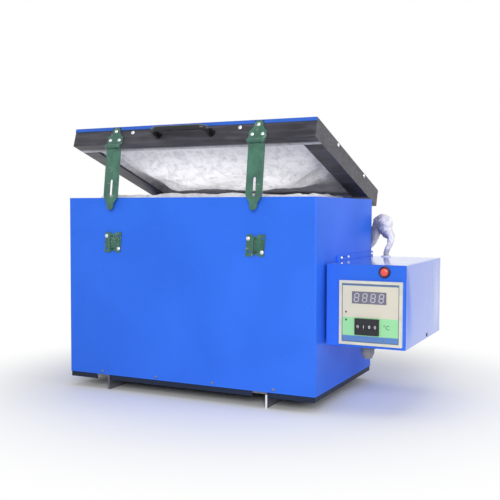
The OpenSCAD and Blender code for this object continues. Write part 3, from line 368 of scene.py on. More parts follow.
# %% Green enamel
tree, shader = finish("green_paint", Specular_IOR_Level=0.5, Coat_Weight=0.3, Coat_Roughness=0.2)
chips = maths(tree, "MULTIPLY", spots(tree, 60, 6), spots(tree, 480, 3))
bare = shades(tree, chips, (0.37, BLACK), (0.40, WHITE))
enamel = shades(tree, spots(tree, 34, 4, warp=1), (0.36, (42, 86, 74)), (0.5, (48, 98, 80)),
                (0.66, (60, 114, 93)))
wire(tree, shader, Base_Color=mix(tree, bare, enamel, tone(150, 160, 158)), Metallic=bare,
     Roughness=levels(tree, spots(tree, 90), 0.5, 0.3))
relief(tree, shader, (chips, 0.0004), (spots(tree, 600, 2), 0.00006))

# %% [markdown]
# ### Bare metals
#
# Feet and screws are bare steel with drawn lines and a little bloom. Stretching a noise along one
# direction gives the drawn lines. The right foot's sawn front end is bare and is painted near white, partly
# for bare metal and partly as a painted highlight, by steps along the object's own axes.


# %% Steel and zinc
def metal(name, plain, dark, gloss, stretch):
    tree, shader = finish(name, Metallic=0.9)
    lines = spots(tree, 260, 3, stretch)
    wire(tree, shader, Base_Color=shades(tree, lines, (0.3, dark), (0.7, plain)),
         Roughness=levels(tree, lines, gloss + 0.12, gloss - 0.05))
    relief(tree, shader, (lines, 0.00008))


metal("grey_steel", (140, 142, 148), (104, 105, 110), 0.42, (1, 0.1, 1))
metal("bright_zinc", (236, 238, 240), (196, 198, 202), 0.3, (1, 1, 1))
metal("blued_steel", (62, 78, 104), (36, 46, 66), 0.32, (1, 1, 1))
tree, shader = finish("foot_steel", Metallic=0.35)
along = split(tree, own_place(tree))
leg_low, leg_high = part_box("foot_right")
# The right foot's sawn front end is painted near white: bare metal and a painted highlight.
bare_end_highlight = maths(tree, "LESS_THAN", along["Y"], leg_low.y + 0.0012)
for limit in (maths(tree, "LESS_THAN", along["Z"], leg_high.z - 0.004),
              maths(tree, "GREATER_THAN", along["X"], leg_low.x)):
    bare_end_highlight = maths(tree, "MULTIPLY", bare_end_highlight, limit)
mill = shades(tree, spots(tree, 120, 4, (1, 0.12, 1)), (0.3, (84, 84, 96)), (0.7, (122, 122, 132)))
wire(tree, shader, Base_Color=mix(tree, bare_end_highlight, mill, tone(238, 238, 240)),
     Roughness=levels(tree, spots(tree, 70), 0.62, 0.42))
relief(tree, shader, (spots(tree, 300, 3, (1, 0.1, 1)), 0.0001))

# %% [markdown]
# ### Ceramic fibre
#
# The blanket is needled alumina fibre: bright and very matt, with short crossing threads. Its pits and the
# spaces between its threads, low in its bump, are painted a soft grey shade. Two stretched noises at an
# angle to each other stand for the threads, and a little sheen lifts the edges as loose fibres do. Deep
# creases are darker, because little light gets into them.


# %% Fibre, ceramic and glass
def fibre(name, bright, hollow_shade, sheen):
    tree, shader = finish(name, Roughness=0.95, Specular_IOR_Level=0.1, Sheen_Weight=sheen,
                          Sheen_Roughness=0.6)
    cross = maths(tree, "ADD", spots(tree, 420, 4, (1, 0.16, 1)), spots(tree, 380, 4, (0.2, 1, 0.6), 0.5))
    soft = maths(tree, "MULTIPLY", cross, 0.5)
    pits = spots(tree, 75, 5, warp=0.8)
    # Painted shade: where the pits and the gaps between threads sink in the bump, the fibre is darker.
    lit = shades(tree, pits, (0.30, hollow_shade), (0.56, bright))
    thread = mix(tree, 0.22, lit, shades(tree, soft, (0.4, hollow_shade), (0.6, bright)))
    creases = add(tree, "ShaderNodeAmbientOcclusion", {"Distance": 0.05}, samples=12).outputs["AO"]
    shade = shades(tree, creases, (0.45, (150, 149, 158)), (0.86, WHITE))
    wire(tree, shader, Base_Color=mix(tree, 1.0, thread, shade, blend_type="MULTIPLY"))
    relief(tree, shader, (soft, 0.0006), (pits, 0.0016))


fibre("kiln_fibre", (246, 245, 248), (206, 205, 212), 0.3)
fibre("sleeve_glass", (242, 240, 244), (196, 190, 206), 0.2)
tree, shader = finish("kiln_ceramic", Specular_IOR_Level=0.3)
grit = spots(tree, 190, 5)
wire(tree, shader, Base_Color=shades(tree, grit, (0.35, (206, 196, 174)), (0.65, (234, 227, 211))),
     Roughness=levels(tree, grit, 0.9, 0.7))
relief(tree, shader, (grit, 0.0004))
tree, shader = finish("quartz", Roughness=0.22, Transmission_Weight=0.25, IOR=1.46)
milk = spots(tree, 30, 3, (0.3, 1, 1))
wire(tree, shader, Base_Color=shades(tree, milk, (0.3, (226, 224, 218)), (0.7, (244, 243, 240))))
relief(tree, shader, (milk, 0.0002))

# %% [markdown]
# ### Plastics
#
# The controller, the wheels and the button are moulded. Moulded plastic has a fine spark-eroded grain
# from its tool, so a small bump is enough, and each colour gets a slightly different gloss.


# %% Moulded plastics
def plastic(name, colour, gloss, grain=0.00004, **more):
    tree, shader = finish(name, **more)
    wear = spots(tree, 45, 3)
    dull = [c * 0.86 for c in tone(*colour)[:3]] + [1]
    wire(tree, shader, Base_Color=shades(tree, wear, (0.3, dull), (0.6, colour)),
         Roughness=levels(tree, wear, gloss + 0.08, gloss - 0.04))
    relief(tree, shader, (spots(tree, 1500, 2), grain))


plastic("cream_plastic", (219, 217, 205), 0.42)
plastic("black_plastic", (22, 24, 30), 0.35)
plastic("navy_plastic", (26, 26, 58), 0.3)
plastic("red_plastic", (232, 74, 64), 0.22, 0.00002, Coat_Weight=0.6, Coat_Roughness=0.1)
plastic("grey_plastic", (128, 128, 132), 0.4)
plastic("black_rubber", (36, 36, 40), 0.7, 0.0001)
plastic("ivory_bush", (226, 226, 230), 0.5)
plastic("dark_window", (104, 104, 124), 0.12, 0.00001, Coat_Weight=0.8, Coat_Roughness=0.04)
plastic("ghost_segment", (190, 186, 196), 0.3)
plastic("red_lamp", (132, 62, 50), 0.2, 0.00001, Coat_Weight=0.5)
plastic("green_lamp", (38, 84, 62), 0.2, 0.00001, Coat_Weight=0.5)
plastic("white_ink", (240, 240, 244), 0.5)
plastic("grey_ink", (88, 138, 116), 0.5)
print("finishes", len(finishes))

# %% [markdown]
# ### Printed face
#
# The controller's front is a screen-printed plate: a blue stripe along the top, beige below it, a
# green field round the set-point wheels and a blue strip at the foot. Each band is a range of height,
# so a ramp with hard steps over the Object height prints them in register. A thin dark line round the
# plate's edge, where it sits back in its rim, is painted shadow.

# %% Face print
FACE_LOW, FACE_SIDE = 79.3, 96
BANDS = ((79.3, (66, 120, 190)), (93, (148, 220, 158)), (120.5, (214, 208, 190)),
         (167.6, (60, 104, 158)), (170.2, (206, 204, 196)))
tree, shader = finish("face_print", Roughness=0.45, Specular_IOR_Level=0.4)
share = first(tree, "ShaderNodeMapRange", {
    "Value": split(tree, own_place(tree))["Z"], "From Min": at(0, 0, FACE_LOW).z,
    "From Max": at(0, 0, FACE_LOW + FACE_SIDE).z})
bands = shades(tree, share, *[((z - FACE_LOW) / FACE_SIDE, colour) for z, colour in BANDS],
               steps="CONSTANT")
ink = spots(tree, 900, 2)
printed = mix(tree, levels(tree, ink, 0, 0.12), bands, tone(240, 240, 236))
face_low, face_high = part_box("controller_face")
off = first(tree, "ShaderNodeVectorMath", {0: own_place(tree), 1: (face_low + face_high) / 2},
            operation="SUBTRACT")
off = split(tree, first(tree, "ShaderNodeVectorMath", {0: off}, operation="ABSOLUTE"))
farthest = maths(tree, "MAXIMUM", off["X"], off["Z"])
# Painted shadow: a thin dark line round the face's edge, where it sits back in the rim.
edge_shadow = maths(tree, "GREATER_THAN", farthest, (face_high.x - face_low.x) / 2 - 0.001)
wire(tree, shader, Base_Color=mix(tree, edge_shadow, printed, tone(98, 108, 122)))
relief(tree, shader, (ink, 0.00002))
print("printed bands", len(BANDS))

# %% [markdown]
# ## Finishes on the CAD parts
#
# The record says what each part is made of. A part whose shape is right keeps its mesh and takes the
# finish of its slot, and the few that differ, such as the feet with their white ends, are named.

# %% Dress the CAD parts
slot_finish = {"kiln_ceramic": "kiln_ceramic", "white_sleeve": "sleeve_glass", "lamp_plastic": "red_lamp"}
own_finish = {"foot_left": "foot_steel", "foot_right": "foot_steel", "box_cover": "box_paint",
              "box_cover_screws": "blued_steel", "button_body": "navy_plastic", "lid_cover": "lid_blue",
              "lead_bushes": "ivory_bush"}
records = {part["node"]: part for part in frame["record"]["subparts"]}
for name, part in records.items():
    slot = part["material_slot"]
    chosen = own_finish.get(name) or slot_finish.get(slot, slot)
    mesh = frame["nodes"][name].data
    mesh.materials.clear()
    mesh.materials.append(finishes[chosen])
print("dressed", len(records), "parts")

# %% [markdown]
# ### Soft edges on folded sheet
#
# A folded or sheared edge is never sharp: it catches a thin line of light. The CAD meshes are loose
# triangles, so a weld joins them first, and a narrow bevel then rounds only edges sharper than 35
# degrees. Round parts get the weld and smooth shading from a small node tree instead.


# %% Round the edges
def soften(part, width):
    part.modifiers.new("weld", "WELD").merge_threshold = 1e-6
    settle(part.modifiers.new("edge", "BEVEL"), width=width / 1000, segments=2, limit_method="ANGLE",
           angle_limit=math.radians(35))


t = bpy.data.node_groups.new("smooth_round_parts", "GeometryNodeTree")
for way in ("INPUT", "OUTPUT"):
    t.interface.new_socket("Geometry", in_out=way, socket_type="NodeSocketGeometry")
taken = first(t, "NodeGroupInput")
whole = geo(t, "MergeByDistance", {"Geometry": taken, "Distance": 1e-6})
bend = add(t, "GeometryNodeInputMeshEdgeAngle").outputs["Unsigned Angle"]
flat = add(t, "FunctionNodeCompare", {0: bend, 1: math.radians(32)}, operation="LESS_THAN")
faces = geo(t, "SetShadeSmooth", {"Geometry": whole}, domain="FACE")
edges = geo(t, "SetShadeSmooth", {"Geometry": faces, "Shade Smooth": flat.outputs[0]},
            domain="EDGE")
add(t, "NodeGroupOutput", {0: edges})
smooth_tree = t
for name, width in {"outer_casing": 0.8, "base_tray": 0.4, "foot_left": 0.3, "foot_right": 0.3,
                    "lid_cover": 0.4, "lid_frame": 0.5, "hasp_leaves": 0.35, "hasp_strap_left": 0.35,
                    "hasp_strap_right": 0.35, "staples": 0.3, "box_chassis": 0.4,
                    "controller_case": 0.4, "thumbwheel_frame": 0.25, "mounting_plate": 0.4,
                    "terminal_cover": 0.5, "hearth_plate": 0.8}.items():
    soften(frame["nodes"][name], width)
for name in ("lid_handle", "cable_gland", "heater_tubes", "hinge_pins", "lead_bushes", "hasp_pin_left",
             "hasp_pin_right", "hinge_body_leaves", "hinge_lid_leaves", "thermocouple_sheath"):
    frame["nodes"][name].modifiers.new("smooth", "NODES").node_group = smooth_tree
print("edges rounded")

# %% [markdown]
# ## Making a piece
#
# Each new piece is a mesh whose points are already in place, so its object sits at the origin and its
# finish doesn't slide. Doubles are merged and normals recalculated outward before it gets its finish
# and rides on its body.


# %% A piece from points
SHARP, HEAD_SHARP = math.radians(40), math.radians(50)


def piece(name, points, faces, finish_name, body, smooth=True):
    mesh = bpy.data.meshes.new(name)
    shape = bmesh.new()
    made = [shape.verts.new(p) for p in points]
    for face in faces:
        if len({made[i] for i in face}) > 2:
            shape.faces.new([made[i] for i in face])
    bmesh.ops.remove_doubles(shape, verts=shape.verts, dist=1e-7)
    bmesh.ops.recalc_face_normals(shape, faces=shape.faces)
    shape.to_mesh(mesh)
    shape.free()
    mesh.materials.append(finishes[finish_name])
    if smooth:
        mesh.shade_smooth()
    made_piece = put(name, mesh)
    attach(made_piece, body)
    print(name, len(mesh.polygons), "faces on", body)
    return made_piece


def net(rows, columns, close_rows=False, close_columns=False):
    faces = []
    for i in range(rows if close_rows else rows - 1):
        for j in range(columns if close_columns else columns - 1):
            k, m = (i + 1) % rows, (j + 1) % columns
            faces.append((i * columns + j, i * columns + m, k * columns + m, k * columns + j))
    return faces


# %% [markdown]
# ## Fasteners
#
# The kiln is held by pan-head screws with a cross recess and by domed rivets. They could be modelled
# one by one, but they repeat, so one Geometry Nodes tree makes a head and puts it on every place. The
# places come from the CAD part: each of its loose solids is one fastener, and its outermost point
# along the way it faces is the top of its head.


# %% Places of the heads
def loose_solids(part):
    mesh = frame["nodes"][part].data
    keys = [tuple(round(c * 1e5) for c in v.co) for v in mesh.vertices]
    parent = {}

    def root(key):
        while parent.setdefault(key, key) != key:
            key = parent[key]
        return key

    for face in mesh.polygons:
        first = root(keys[face.vertices[0]])
        for i in face.vertices[1:]:
            parent[root(keys[i])] = first
    solids = {}
    for key in set(keys):
        solids.setdefault(root(key), []).append(Vector(key) / 1e5)
    return list(solids.values())


def head_places(part, facing):
    places = []
    for points in loose_solids(part):
        middle = sum(points, Vector()) / len(points)
        out = facing(middle) if callable(facing) else facing
        side = out.orthogonal().normalized()
        other = out.cross(side)
        spans = [[p.dot(axis) for p in points] for axis in (side, other, out)]
        centre = (side * (min(spans[0]) + max(spans[0])) / 2 + other * (min(spans[1]) + max(spans[1])) / 2
                  + out * max(spans[2]))
        places.append((centre, out))
    return places


# %% A tree's sockets and its end
def new_tree(name, source, product, **numbers):
    tree = bpy.data.node_groups.new(name, "GeometryNodeTree")
    socket = tree.interface.new_socket
    socket(source, in_out="INPUT", socket_type="NodeSocketGeometry")
    for label, start in numbers.items():
        kind = "NodeSocketInt" if isinstance(start, int) else "NodeSocketFloat"
        socket(label.replace("_", " "), in_out="INPUT", socket_type=kind).default_value = start
    socket("Finish", in_out="INPUT", socket_type="NodeSocketMaterial")
    socket(product, in_out="OUTPUT", socket_type="NodeSocketGeometry")
    return tree, add(tree, "NodeGroupInput").outputs


def end_tree(tree, geometry, given):
    solid = geo(tree, "RealizeInstances", {0: geometry})
    add(tree, "NodeGroupOutput", {0: geo(tree, "SetMaterial", {
        "Geometry": solid, "Material": given["Finish"]})})
    print(tree.name, "has", len(tree.nodes), "nodes")


# %% The fastener tree
t, given = new_tree("fastener_heads", "Places", "Heads", Head_width=0.007, Head_height=0.0022,
                    Recess_width=0.0, Recess_depth=0.001, Seed=3)
heads_tree = t
ball = geo(t, "MeshUVSphere", {"Segments": 24, "Rings": 16, "Radius": 0.5})
cut = split(t, geo(t, "InputPosition"))
full = maths(t, "POWER", maths(t, "MULTIPLY", maths(t, "MAXIMUM", cut[2], 0.0), 2.0), 0.72)
tall = maths(t, "MULTIPLY", full, given["Head height"])
wide_x, wide_y = [maths(t, "MULTIPLY", cut[k], given["Head width"]) for k in (0, 1)]
domed = geo(t, "SetPosition", {"Geometry": ball, "Position": vector(t, wide_x, wide_y, tall)})
slim = maths(t, "MULTIPLY", given["Recess width"], 0.28)
deep = maths(t, "MULTIPLY", given["Recess depth"], 2.0)
both = add(t, "GeometryNodeJoinGeometry")
for a, b in ((given["Recess width"], slim), (slim, given["Recess width"])):
    t.links.new(geo(t, "MeshCube", {"Size": vector(t, a, b, deep)}), both.inputs[0])
sunk = geo(t, "Transform", {
    "Geometry": both.outputs[0], "Translation": vector(t, 0, 0, given["Head height"])})
crossed = geo(t, "MeshBoolean", {"Mesh 1": domed, "Mesh 2": sunk}, operation="DIFFERENCE")
has = first(t, "FunctionNodeCompare", {0: given["Recess width"], 1: 0.0001}, operation="GREATER_THAN")
head = geo(t, "Switch", {"Switch": has, "False": domed, "True": crossed})
out = geo(t, "InputNamedAttribute", {"Name": "facing"}, data_type="FLOAT_VECTOR")
aimed = first(t, "FunctionNodeAlignRotationToVector", {"Vector": out}, axis="Z")
spin = add(t, "FunctionNodeRandomValue", {"Seed": given["Seed"], 3: 3.1}, data_type="FLOAT").outputs[1]
about = first(t, "FunctionNodeAxisAngleToRotation", {"Axis": (0, 0, 1), "Angle": spin})
turned = first(t, "FunctionNodeRotateRotation", {0: aimed, 1: about}, rotation_space="LOCAL")
dots = geo(t, "MeshToPoints", {"Mesh": given["Places"]})
end_tree(t, geo(t, "InstanceOnPoints", {"Points": dots, "Instance": head, "Rotation": turned}), given)


# %% Run a tree and keep its mesh
def frozen(thing):
    ready = bpy.context.evaluated_depsgraph_get()
    mesh = bpy.data.meshes.new_from_object(thing.evaluated_get(ready), depsgraph=ready)
    bpy.data.objects.remove(thing)
    return mesh


def grow(tree, name, points, attributes=(), **inputs):
    seeds = bpy.data.meshes.new(name + "_places")
    seeds.from_pydata(points, [], [])
    for label, kind, values in attributes:
        for spot, value in zip(seeds.attributes.new(label, kind, "POINT").data, values):
            setattr(spot, "vector" if kind == "FLOAT_VECTOR" else "value", value)
    carrier = put(name + "_places", seeds)
    nodes = carrier.modifiers.new("grow", "NODES")
    nodes.node_group = tree
    for item in tree.interface.items_tree:
        if item.in_out == "INPUT" and item.name.replace(" ", "_") in inputs:
            nodes[item.identifier] = inputs[item.name.replace(" ", "_")]
    mesh = frozen(carrier)
    mesh.name = name
    for layer in list(mesh.attributes):
        if layer.name in ("facing", "turn"):
            mesh.attributes.remove(layer)
    return put(name, mesh)


def fasteners(part, facing, width, height, finish_name, body, recess=0.0):
    places = head_places(part, facing)
    feet = [centre - way * height / 1000 for centre, way in places]
    ways = [("facing", "FLOAT_VECTOR", [way for _, way in places])]
    heads = grow(heads_tree, part + "_heads", feet, ways,
                 Head_width=width / 1000, Head_height=height / 1000, Recess_width=recess / 1000,
                 Recess_depth=height * 0.0006, Finish=finishes[finish_name])
    heads.data.shade_smooth()
    heads.data.set_sharp_from_angle(angle=HEAD_SHARP)
    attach(heads, body)
    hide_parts(part)
    print(part, len(places), "heads,", len(heads.data.polygons), "faces")


# %% Put on screws and rivets
FRONT, REAR, LEFT, RIGHT, DOWN = (
    Vector(way) for way in ((0, -1, 0), (0, 1, 0), (-1, 0, 0), (1, 0, 0), (0, 0, -1)))
LID_LEFT, LID_RIGHT = 12, 443
lid_out = lid_turn.to_3x3()


def casing_way(place):
    return FRONT if place.y < at(0, CASING.y / 2, 0).y else REAR


def lid_way(place):
    if place.x < at(LID_LEFT, 0, 0).x:
        return LEFT
    return RIGHT if place.x > at(LID_RIGHT, 0, 0).x else lid_out @ FRONT


fasteners("casing_rivets", casing_way, 4.8, 1.5, "grey_steel", "kiln")
fasteners("lid_rivets", lid_way, 6.5, 1.8, "bright_zinc", "lid")
fasteners("hasp_rivets", lid_out @ FRONT, 6, 1.7, "bright_zinc", "lid")
fasteners("staple_screws", FRONT, 6.8, 2.0, "bright_zinc", "kiln", 3.4)
fasteners("hinge_body_screws", REAR, 7, 2.2, "grey_steel", "kiln", 3.8)
fasteners("hinge_lid_screws", lid_out @ DOWN, 7, 2.2, "grey_steel", "lid", 3.8)
fasteners("terminal_cover_screws", REAR, 7, 2.2, "grey_steel", "kiln", 3.8)
fasteners("mounting_screws", RIGHT, 5.6, 2.0, "bright_zinc", "kiln", 4)
fasteners("box_cover_screws", RIGHT, 7, 1.9, "blued_steel", "kiln", 3.8)

# %% [markdown]
# ## Lid blanket
#
# The lid is stuffed with a needled fibre blanket that hangs down in a soft cushion. Being longer than
# the lid is deep, it lies in shallow folds that run across the kiln. A cloth simulation finds such
# folds by itself: the sheet's rest length is made a little longer from front to rear than the space
# it has, its border is pinned, and the cloth buckles. The long creases where the needled layers slip
# are too stiff for cloth to show, so a rule adds them: one broad roll from left to right, a valley and
# a lesser roll behind it, and creases that fan out from the left.

# %% Underside of the blanket
BLANKET = (9.5, 445.5, -5.7, 319.7)
FLANGE_Z, RING_Z, TOP_Z, BULGE = 304.2, 310.3, 330.4, 24
RING_EDGE, LOOSE_EDGE, HANG_EDGE = 35.2, 44, 57
ACROSS, DEEP = 132, 100


def ease(value):
    value = min(1, max(0, value))
    return value * value * (3 - 2 * value)


def underside(x, y):
    edge = min(x, CASING.x - x, y, CASING.y - y)
    ring = ease((edge - RING_EDGE) / 3)
    hang = BULGE * ease((min(x, CASING.x - x) - HANG_EDGE) / 55)
    hang *= ease((min(y, CASING.y - y) - HANG_EDGE) / 45)
    return FLANGE_Z + (RING_Z - FLANGE_Z) * ring - hang * (0.86 + 0.14 * math.sin(x / 28 + y / 17))


grid = []
for i in range(ACROSS):
    for j in range(DEEP):
        x = BLANKET[0] + (BLANKET[1] - BLANKET[0]) * i / (ACROSS - 1)
        y = BLANKET[2] + (BLANKET[3] - BLANKET[2]) * j / (DEEP - 1)
        grid.append(Vector((x, y, underside(x, y))))
print("blanket grid", len(grid), "lowest", round(min(p.z for p in grid), 1))


# %% Buckle the sheet
def loose_part(x, y):
    inset_x = min(x - LOOSE_EDGE, CASING.x - LOOSE_EDGE - x)
    inset_y = min(y - LOOSE_EDGE, CASING.y - LOOSE_EDGE - y)
    return ease(inset_x / 14) * ease(inset_y / 14)


CLOTH_FRAMES, CLOTH_SHARE, FOLD_UP, FOLD_DOWN = 24, 0.7, 9, -12
ROLL_DEEP, VALLEY_HIGH, SECOND_DEEP, FAN_HIGH = 8.5, 5.5, 5.0, 4.2
ROLL = ((40, 104), (119, 116), (165, 142), (213, 164), (275, 161), (338, 150), (415, 128))


def roll_line(x):
    for (x0, y0), (x1, y1) in zip(ROLL, ROLL[1:]):
        if x <= x1:
            return y0 + (y1 - y0) * ease((x - x0) / (x1 - x0))
    return ROLL[-1][1]


def laid_folds(p):
    drift = noise.noise(Vector((p.x / 80, p.y / 50, 3)))
    past = p.y - roll_line(p.x) + 7 * drift
    roll = ROLL_DEEP * math.exp(-(past / (46 if past < 0 else 15)) ** 2)
    valley = VALLEY_HIGH * math.exp(-((past - 25) / 9) ** 2) * (0.7 + drift)
    second = SECOND_DEEP * math.exp(-((past - 50) / 17) ** 2)
    turn = math.atan2(p.y - 150, p.x + 10)
    fan = 1 - abs(math.sin(turn * 17 + 2.4 * drift + 1.2 * noise.noise(Vector((p.x / 40, p.y / 14, 6)))))
    fade = 0.35 + 0.65 * ease((300 - p.x) / 220)
    return valley - roll - second + FAN_HIGH * fan ** 2.5 * fade * max(0, 0.8 + drift)


def buckled():
    sheet = bpy.data.meshes.new("blanket_sheet")
    sheet.from_pydata([p / 100 for p in grid], [], net(ACROSS, DEEP))
    cloth_piece = put("blanket_sheet", sheet)
    held = cloth_piece.vertex_groups.new(name="held")
    for i, p in enumerate(grid):
        held.add([i], 1 - loose_part(p.x, p.y), "REPLACE")
    cloth_piece.shape_key_add(name="as_laid")
    longer = cloth_piece.shape_key_add(name="as_cut")
    for spot, p in zip(longer.data, grid):
        slack = noise.noise(Vector((p.x / 70, p.y / 30, 5)))
        spot.co = Vector((p.x * 1.015, p.y * 1.11 + p.x * 0.03, p.z + 1.4 * slack)) / 100
    cloth = cloth_piece.modifiers.new("cloth", "CLOTH")
    settle(cloth.settings, quality=6, mass=0.25, tension_stiffness=18, compression_stiffness=18,
           shear_stiffness=6, bending_stiffness=0.9, vertex_group_mass="held", pin_stiffness=4,
           rest_shape_key=longer)
    cloth.settings.effector_weights.gravity = 0.02
    cloth.point_cache.frame_end = CLOTH_FRAMES + 2
    for step in range(CLOTH_FRAMES):
        scene.frame_set(step + 1)
    done = cloth_piece.evaluated_get(bpy.context.evaluated_depsgraph_get())
    moved = [v.co.z * 100 - p.z for v, p in zip(done.data.vertices, grid)]
    scene.frame_set(1)
    bpy.data.objects.remove(cloth_piece)
    return moved


found = buckled()
print("cloth moved from", round(min(found), 2), "to", round(max(found), 2), "mm")
folds = [CLOTH_SHARE * cloth_fold + laid_folds(p) for cloth_fold, p in zip(found, grid)]
print("folds from", round(min(folds), 2), "to", round(max(folds), 2), "mm")

# %% Close the blanket
low_points = []
for p, fold in zip(grid, folds):
    loose = loose_part(p.x, p.y)
    tuft = noise.fractal(Vector((p.x / 22, p.y / 9, 1)), 0.7, 2.2, 4)
    kept = loose * max(FOLD_DOWN, min(FOLD_UP, fold))
    low_points.append(on_lid(p.x, p.y, p.z + kept + tuft * (0.35 + 0.9 * loose)))
rim = ([i * DEEP for i in range(ACROSS)] + [(ACROSS - 1) * DEEP + j for j in range(1, DEEP)]
       + [i * DEEP + DEEP - 1 for i in range(ACROSS - 2, -1, -1)] + list(range(DEEP - 2, 0, -1)))
high_points = [on_lid(grid[i].x, grid[i].y, TOP_Z) for i in rim]
start = len(low_points)
faces = net(ACROSS, DEEP)
faces += [(rim[k], rim[(k + 1) % len(rim)], start + (k + 1) % len(rim), start + k) for k in range(len(rim))]
faces.append([start + k for k in range(len(rim))])
blanket = piece("lid_blanket", low_points + high_points, faces, "kiln_fibre", "lid")
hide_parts("lid_pad")

# %% [markdown]
# ## Rim blanket
#
# The same fibre is folded over the top of the chamber boards and stands proud of the casing as a soft
# wavy roll. It follows the rim's rectangle, so it is made as a ring of cross-sections, with its height
# changing along each side and a little noise where it is free.

# %% Rim blanket
SECTION = [(3, 292), (3, 298.5), (14.3, 298.5), (15.3, 299.8), (37, 300), (41, None), (45, None),
           (48, None), (51, None), (53, 297), (53, 292)]
STATIONS = 96


def rim_rise(side, t):
    lift = 7.2 * (0.62 + 0.38 * math.sin(math.pi * t))
    wave = 0.6 * math.sin(math.radians(t * 1130 + side * 80))
    wave += 0.4 * math.sin(math.radians(t * 2290 + side * 131))
    return max(1.2, lift + 1.5 * wave)


def rim_place(side, t, inward):
    corners = [(inward, inward), (CASING.x - inward, inward), (CASING.x - inward, CASING.y - inward),
               (inward, CASING.y - inward)]
    a, b = corners[side], corners[(side + 1) % 4]
    return a[0] * (1 - t) + b[0] * t, a[1] * (1 - t) + b[1] * t


points = []
for side in range(4):
    for i in range(STATIONS):
        t = i / STATIONS
        rise = rim_rise(side, t)
        crown = {41: 0.85 * rise, 45: rise, 48: 0.94 * rise, 51: 0.5 * rise}
        ring = [Vector((inward, z if z is not None else 300 + crown[inward])) for inward, z in SECTION]
        for k, here in enumerate(ring):
            after = ring[(k + 1) % len(ring)]
            for share in (0, 0.5):
                inward, z = here.lerp(after, share)
                free = ease((z - 299.7) / 2)
                x, y = rim_place(side, t, inward)
                lump = noise.fractal(Vector((x / 14, y / 14, z / 9)), 0.7, 2.1, 4) * 0.9 * free
                points.append(at(x, y, z + min(lump, 0.8)))
per_ring = 2 * len(SECTION)
faces = net(4 * STATIONS, per_ring, True, True)
roll = piece("rim_blanket", points, faces, "kiln_fibre", "kiln")
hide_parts("fibre_rim")

# %% [markdown]
# ## Lead sleeve
#
# Five leads run from the rear cover to the control box in a woven glass sleeve. The sleeve is pushed
# back on itself, so it is crumpled and much thicker than the leads. It is a tube swept along a smooth
# curve through the route's points, and noise that is stretched round the tube gives its creases.

# %% Route of the sleeve
TERM, BOX = Vector((430, 295, 215)), Vector((490, 250, 199.5))
route = [TERM + Vector(step) for step in ((-6, 0, 0), (2.5, 0, 0), (7, 0, 0), (20, 1, 12), (29, 0, 31),
                                          (37, -2, 42), (45, -5, 37), (50, -10, 24))]
route += [BOX + Vector(step) for step in ((1, 24, 30), (3, 14, 22), (2, 3, 15), (0, 0, 7), (0, 0, 3),
                                          (0, 0, -6))]
radii = [10] * 5 + [13.4, 14, 11, 6.6] + [4.8] * 2 + [4.5] * 3
UNDER_LID = 4.7


def through(values, where):
    i = min(int(where), len(values) - 2)
    u = where - i
    a, b, c, d = (values[max(0, min(len(values) - 1, k))] for k in (i - 1, i, i + 1, i + 2))
    bend, twist = a * 2 - b * 5 + c * 4 - d, b * 3 - a - c * 3 + d
    return (b * 2 + (c - a) * u + bend * u ** 2 + twist * u ** 3) / 2


# %% Sweep the sleeve
AROUND, STEPS = 40, 260
line = [through(route, (len(route) - 1) * s / (STEPS - 1)) for s in range(STEPS)]
line = [p + Vector((0, 0, 5)) * ease((k / STEPS - 0.34) / 0.12) * ease((0.7 - k / STEPS) / 0.15)
        for k, p in enumerate(line)]
print("sleeve's centre line", round(sum((b - a).length for a, b in zip(line, line[1:]))), "mm")
points, side = [], Vector((0, 1, 0))
for s, middle in enumerate(line):
    heading = (line[min(s + 1, STEPS - 1)] - line[max(s - 1, 0)]).normalized()
    side = (side - heading * side.dot(heading)).normalized()
    other = heading.cross(side)
    where = (len(route) - 1) * s / (STEPS - 1)
    radius = through(radii, where)
    free = ease((where - 1.6) / 1.2) * ease((len(route) - 3.4 - where) / 1.5)
    for k in range(AROUND):
        turn = 2 * math.pi * k / AROUND
        across, over = math.cos(turn), math.sin(turn)
        way = side * across + other * over
        crease = noise.fractal(Vector((where * 2.6, across * 0.9, over * 0.9)), 0.6, 2.3, 4)
        pinch = -abs(noise.noise(Vector((where * 1.5 + 7, across * 1.3, over * 1.3))))
        swell = free * (0.16 * crease + 0.26 * pinch + 0.06)
        swell = min(swell, 0) if where < UNDER_LID else swell
        points.append(at(*(middle + way * radius * (1 + swell))))
faces = net(STEPS, AROUND, False, True)
faces += [list(range(AROUND)), [(STEPS - 1) * AROUND + k for k in range(AROUND)]]
sleeve = piece("lead_sleeve", points, faces, "sleeve_glass", "kiln")
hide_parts("lead_bundle")

# %% [markdown]
# ## Control box cover
#
# The cover is one sheet bent over the top and down both sides. Thin sheet springs a little after
# bending, so its sides bow outwards, and that slow curve is why its reflection changes across the
# side. The bends have a small radius. It is made as a bent section carried from front to rear, with
# an inner skin a sheet's thickness away.

# %% Cover sheet
X0, X1, Y0, Y1, Z0, Z1, SHEET, BEND = 458.5, 581.5, 36.3, 262, 75, 199.5, 1.2, 2.4
SPRING, CROWN = 2.4, 0.5


def section(offset):
    path = [(X0 + offset, Z0 + (Z1 - BEND - Z0) * k / 14) for k in range(15)]
    inner = BEND - offset
    path += [(X0 + BEND - inner * math.cos(a), Z1 - BEND + inner * math.sin(a))
             for a in [math.pi / 2 * k / 6 for k in range(1, 6)]]
    path += [(X0 + BEND + (X1 - X0 - 2 * BEND) * k / 12, Z1 - offset) for k in range(13)]
    path += [(X1 - BEND + inner * math.sin(a), Z1 - BEND + inner * math.cos(a))
             for a in [math.pi / 2 * k / 6 for k in range(1, 6)]]
    path += [(X1 - offset, Z1 - BEND - (Z1 - BEND - Z0) * k / 14) for k in range(15)]
    return path


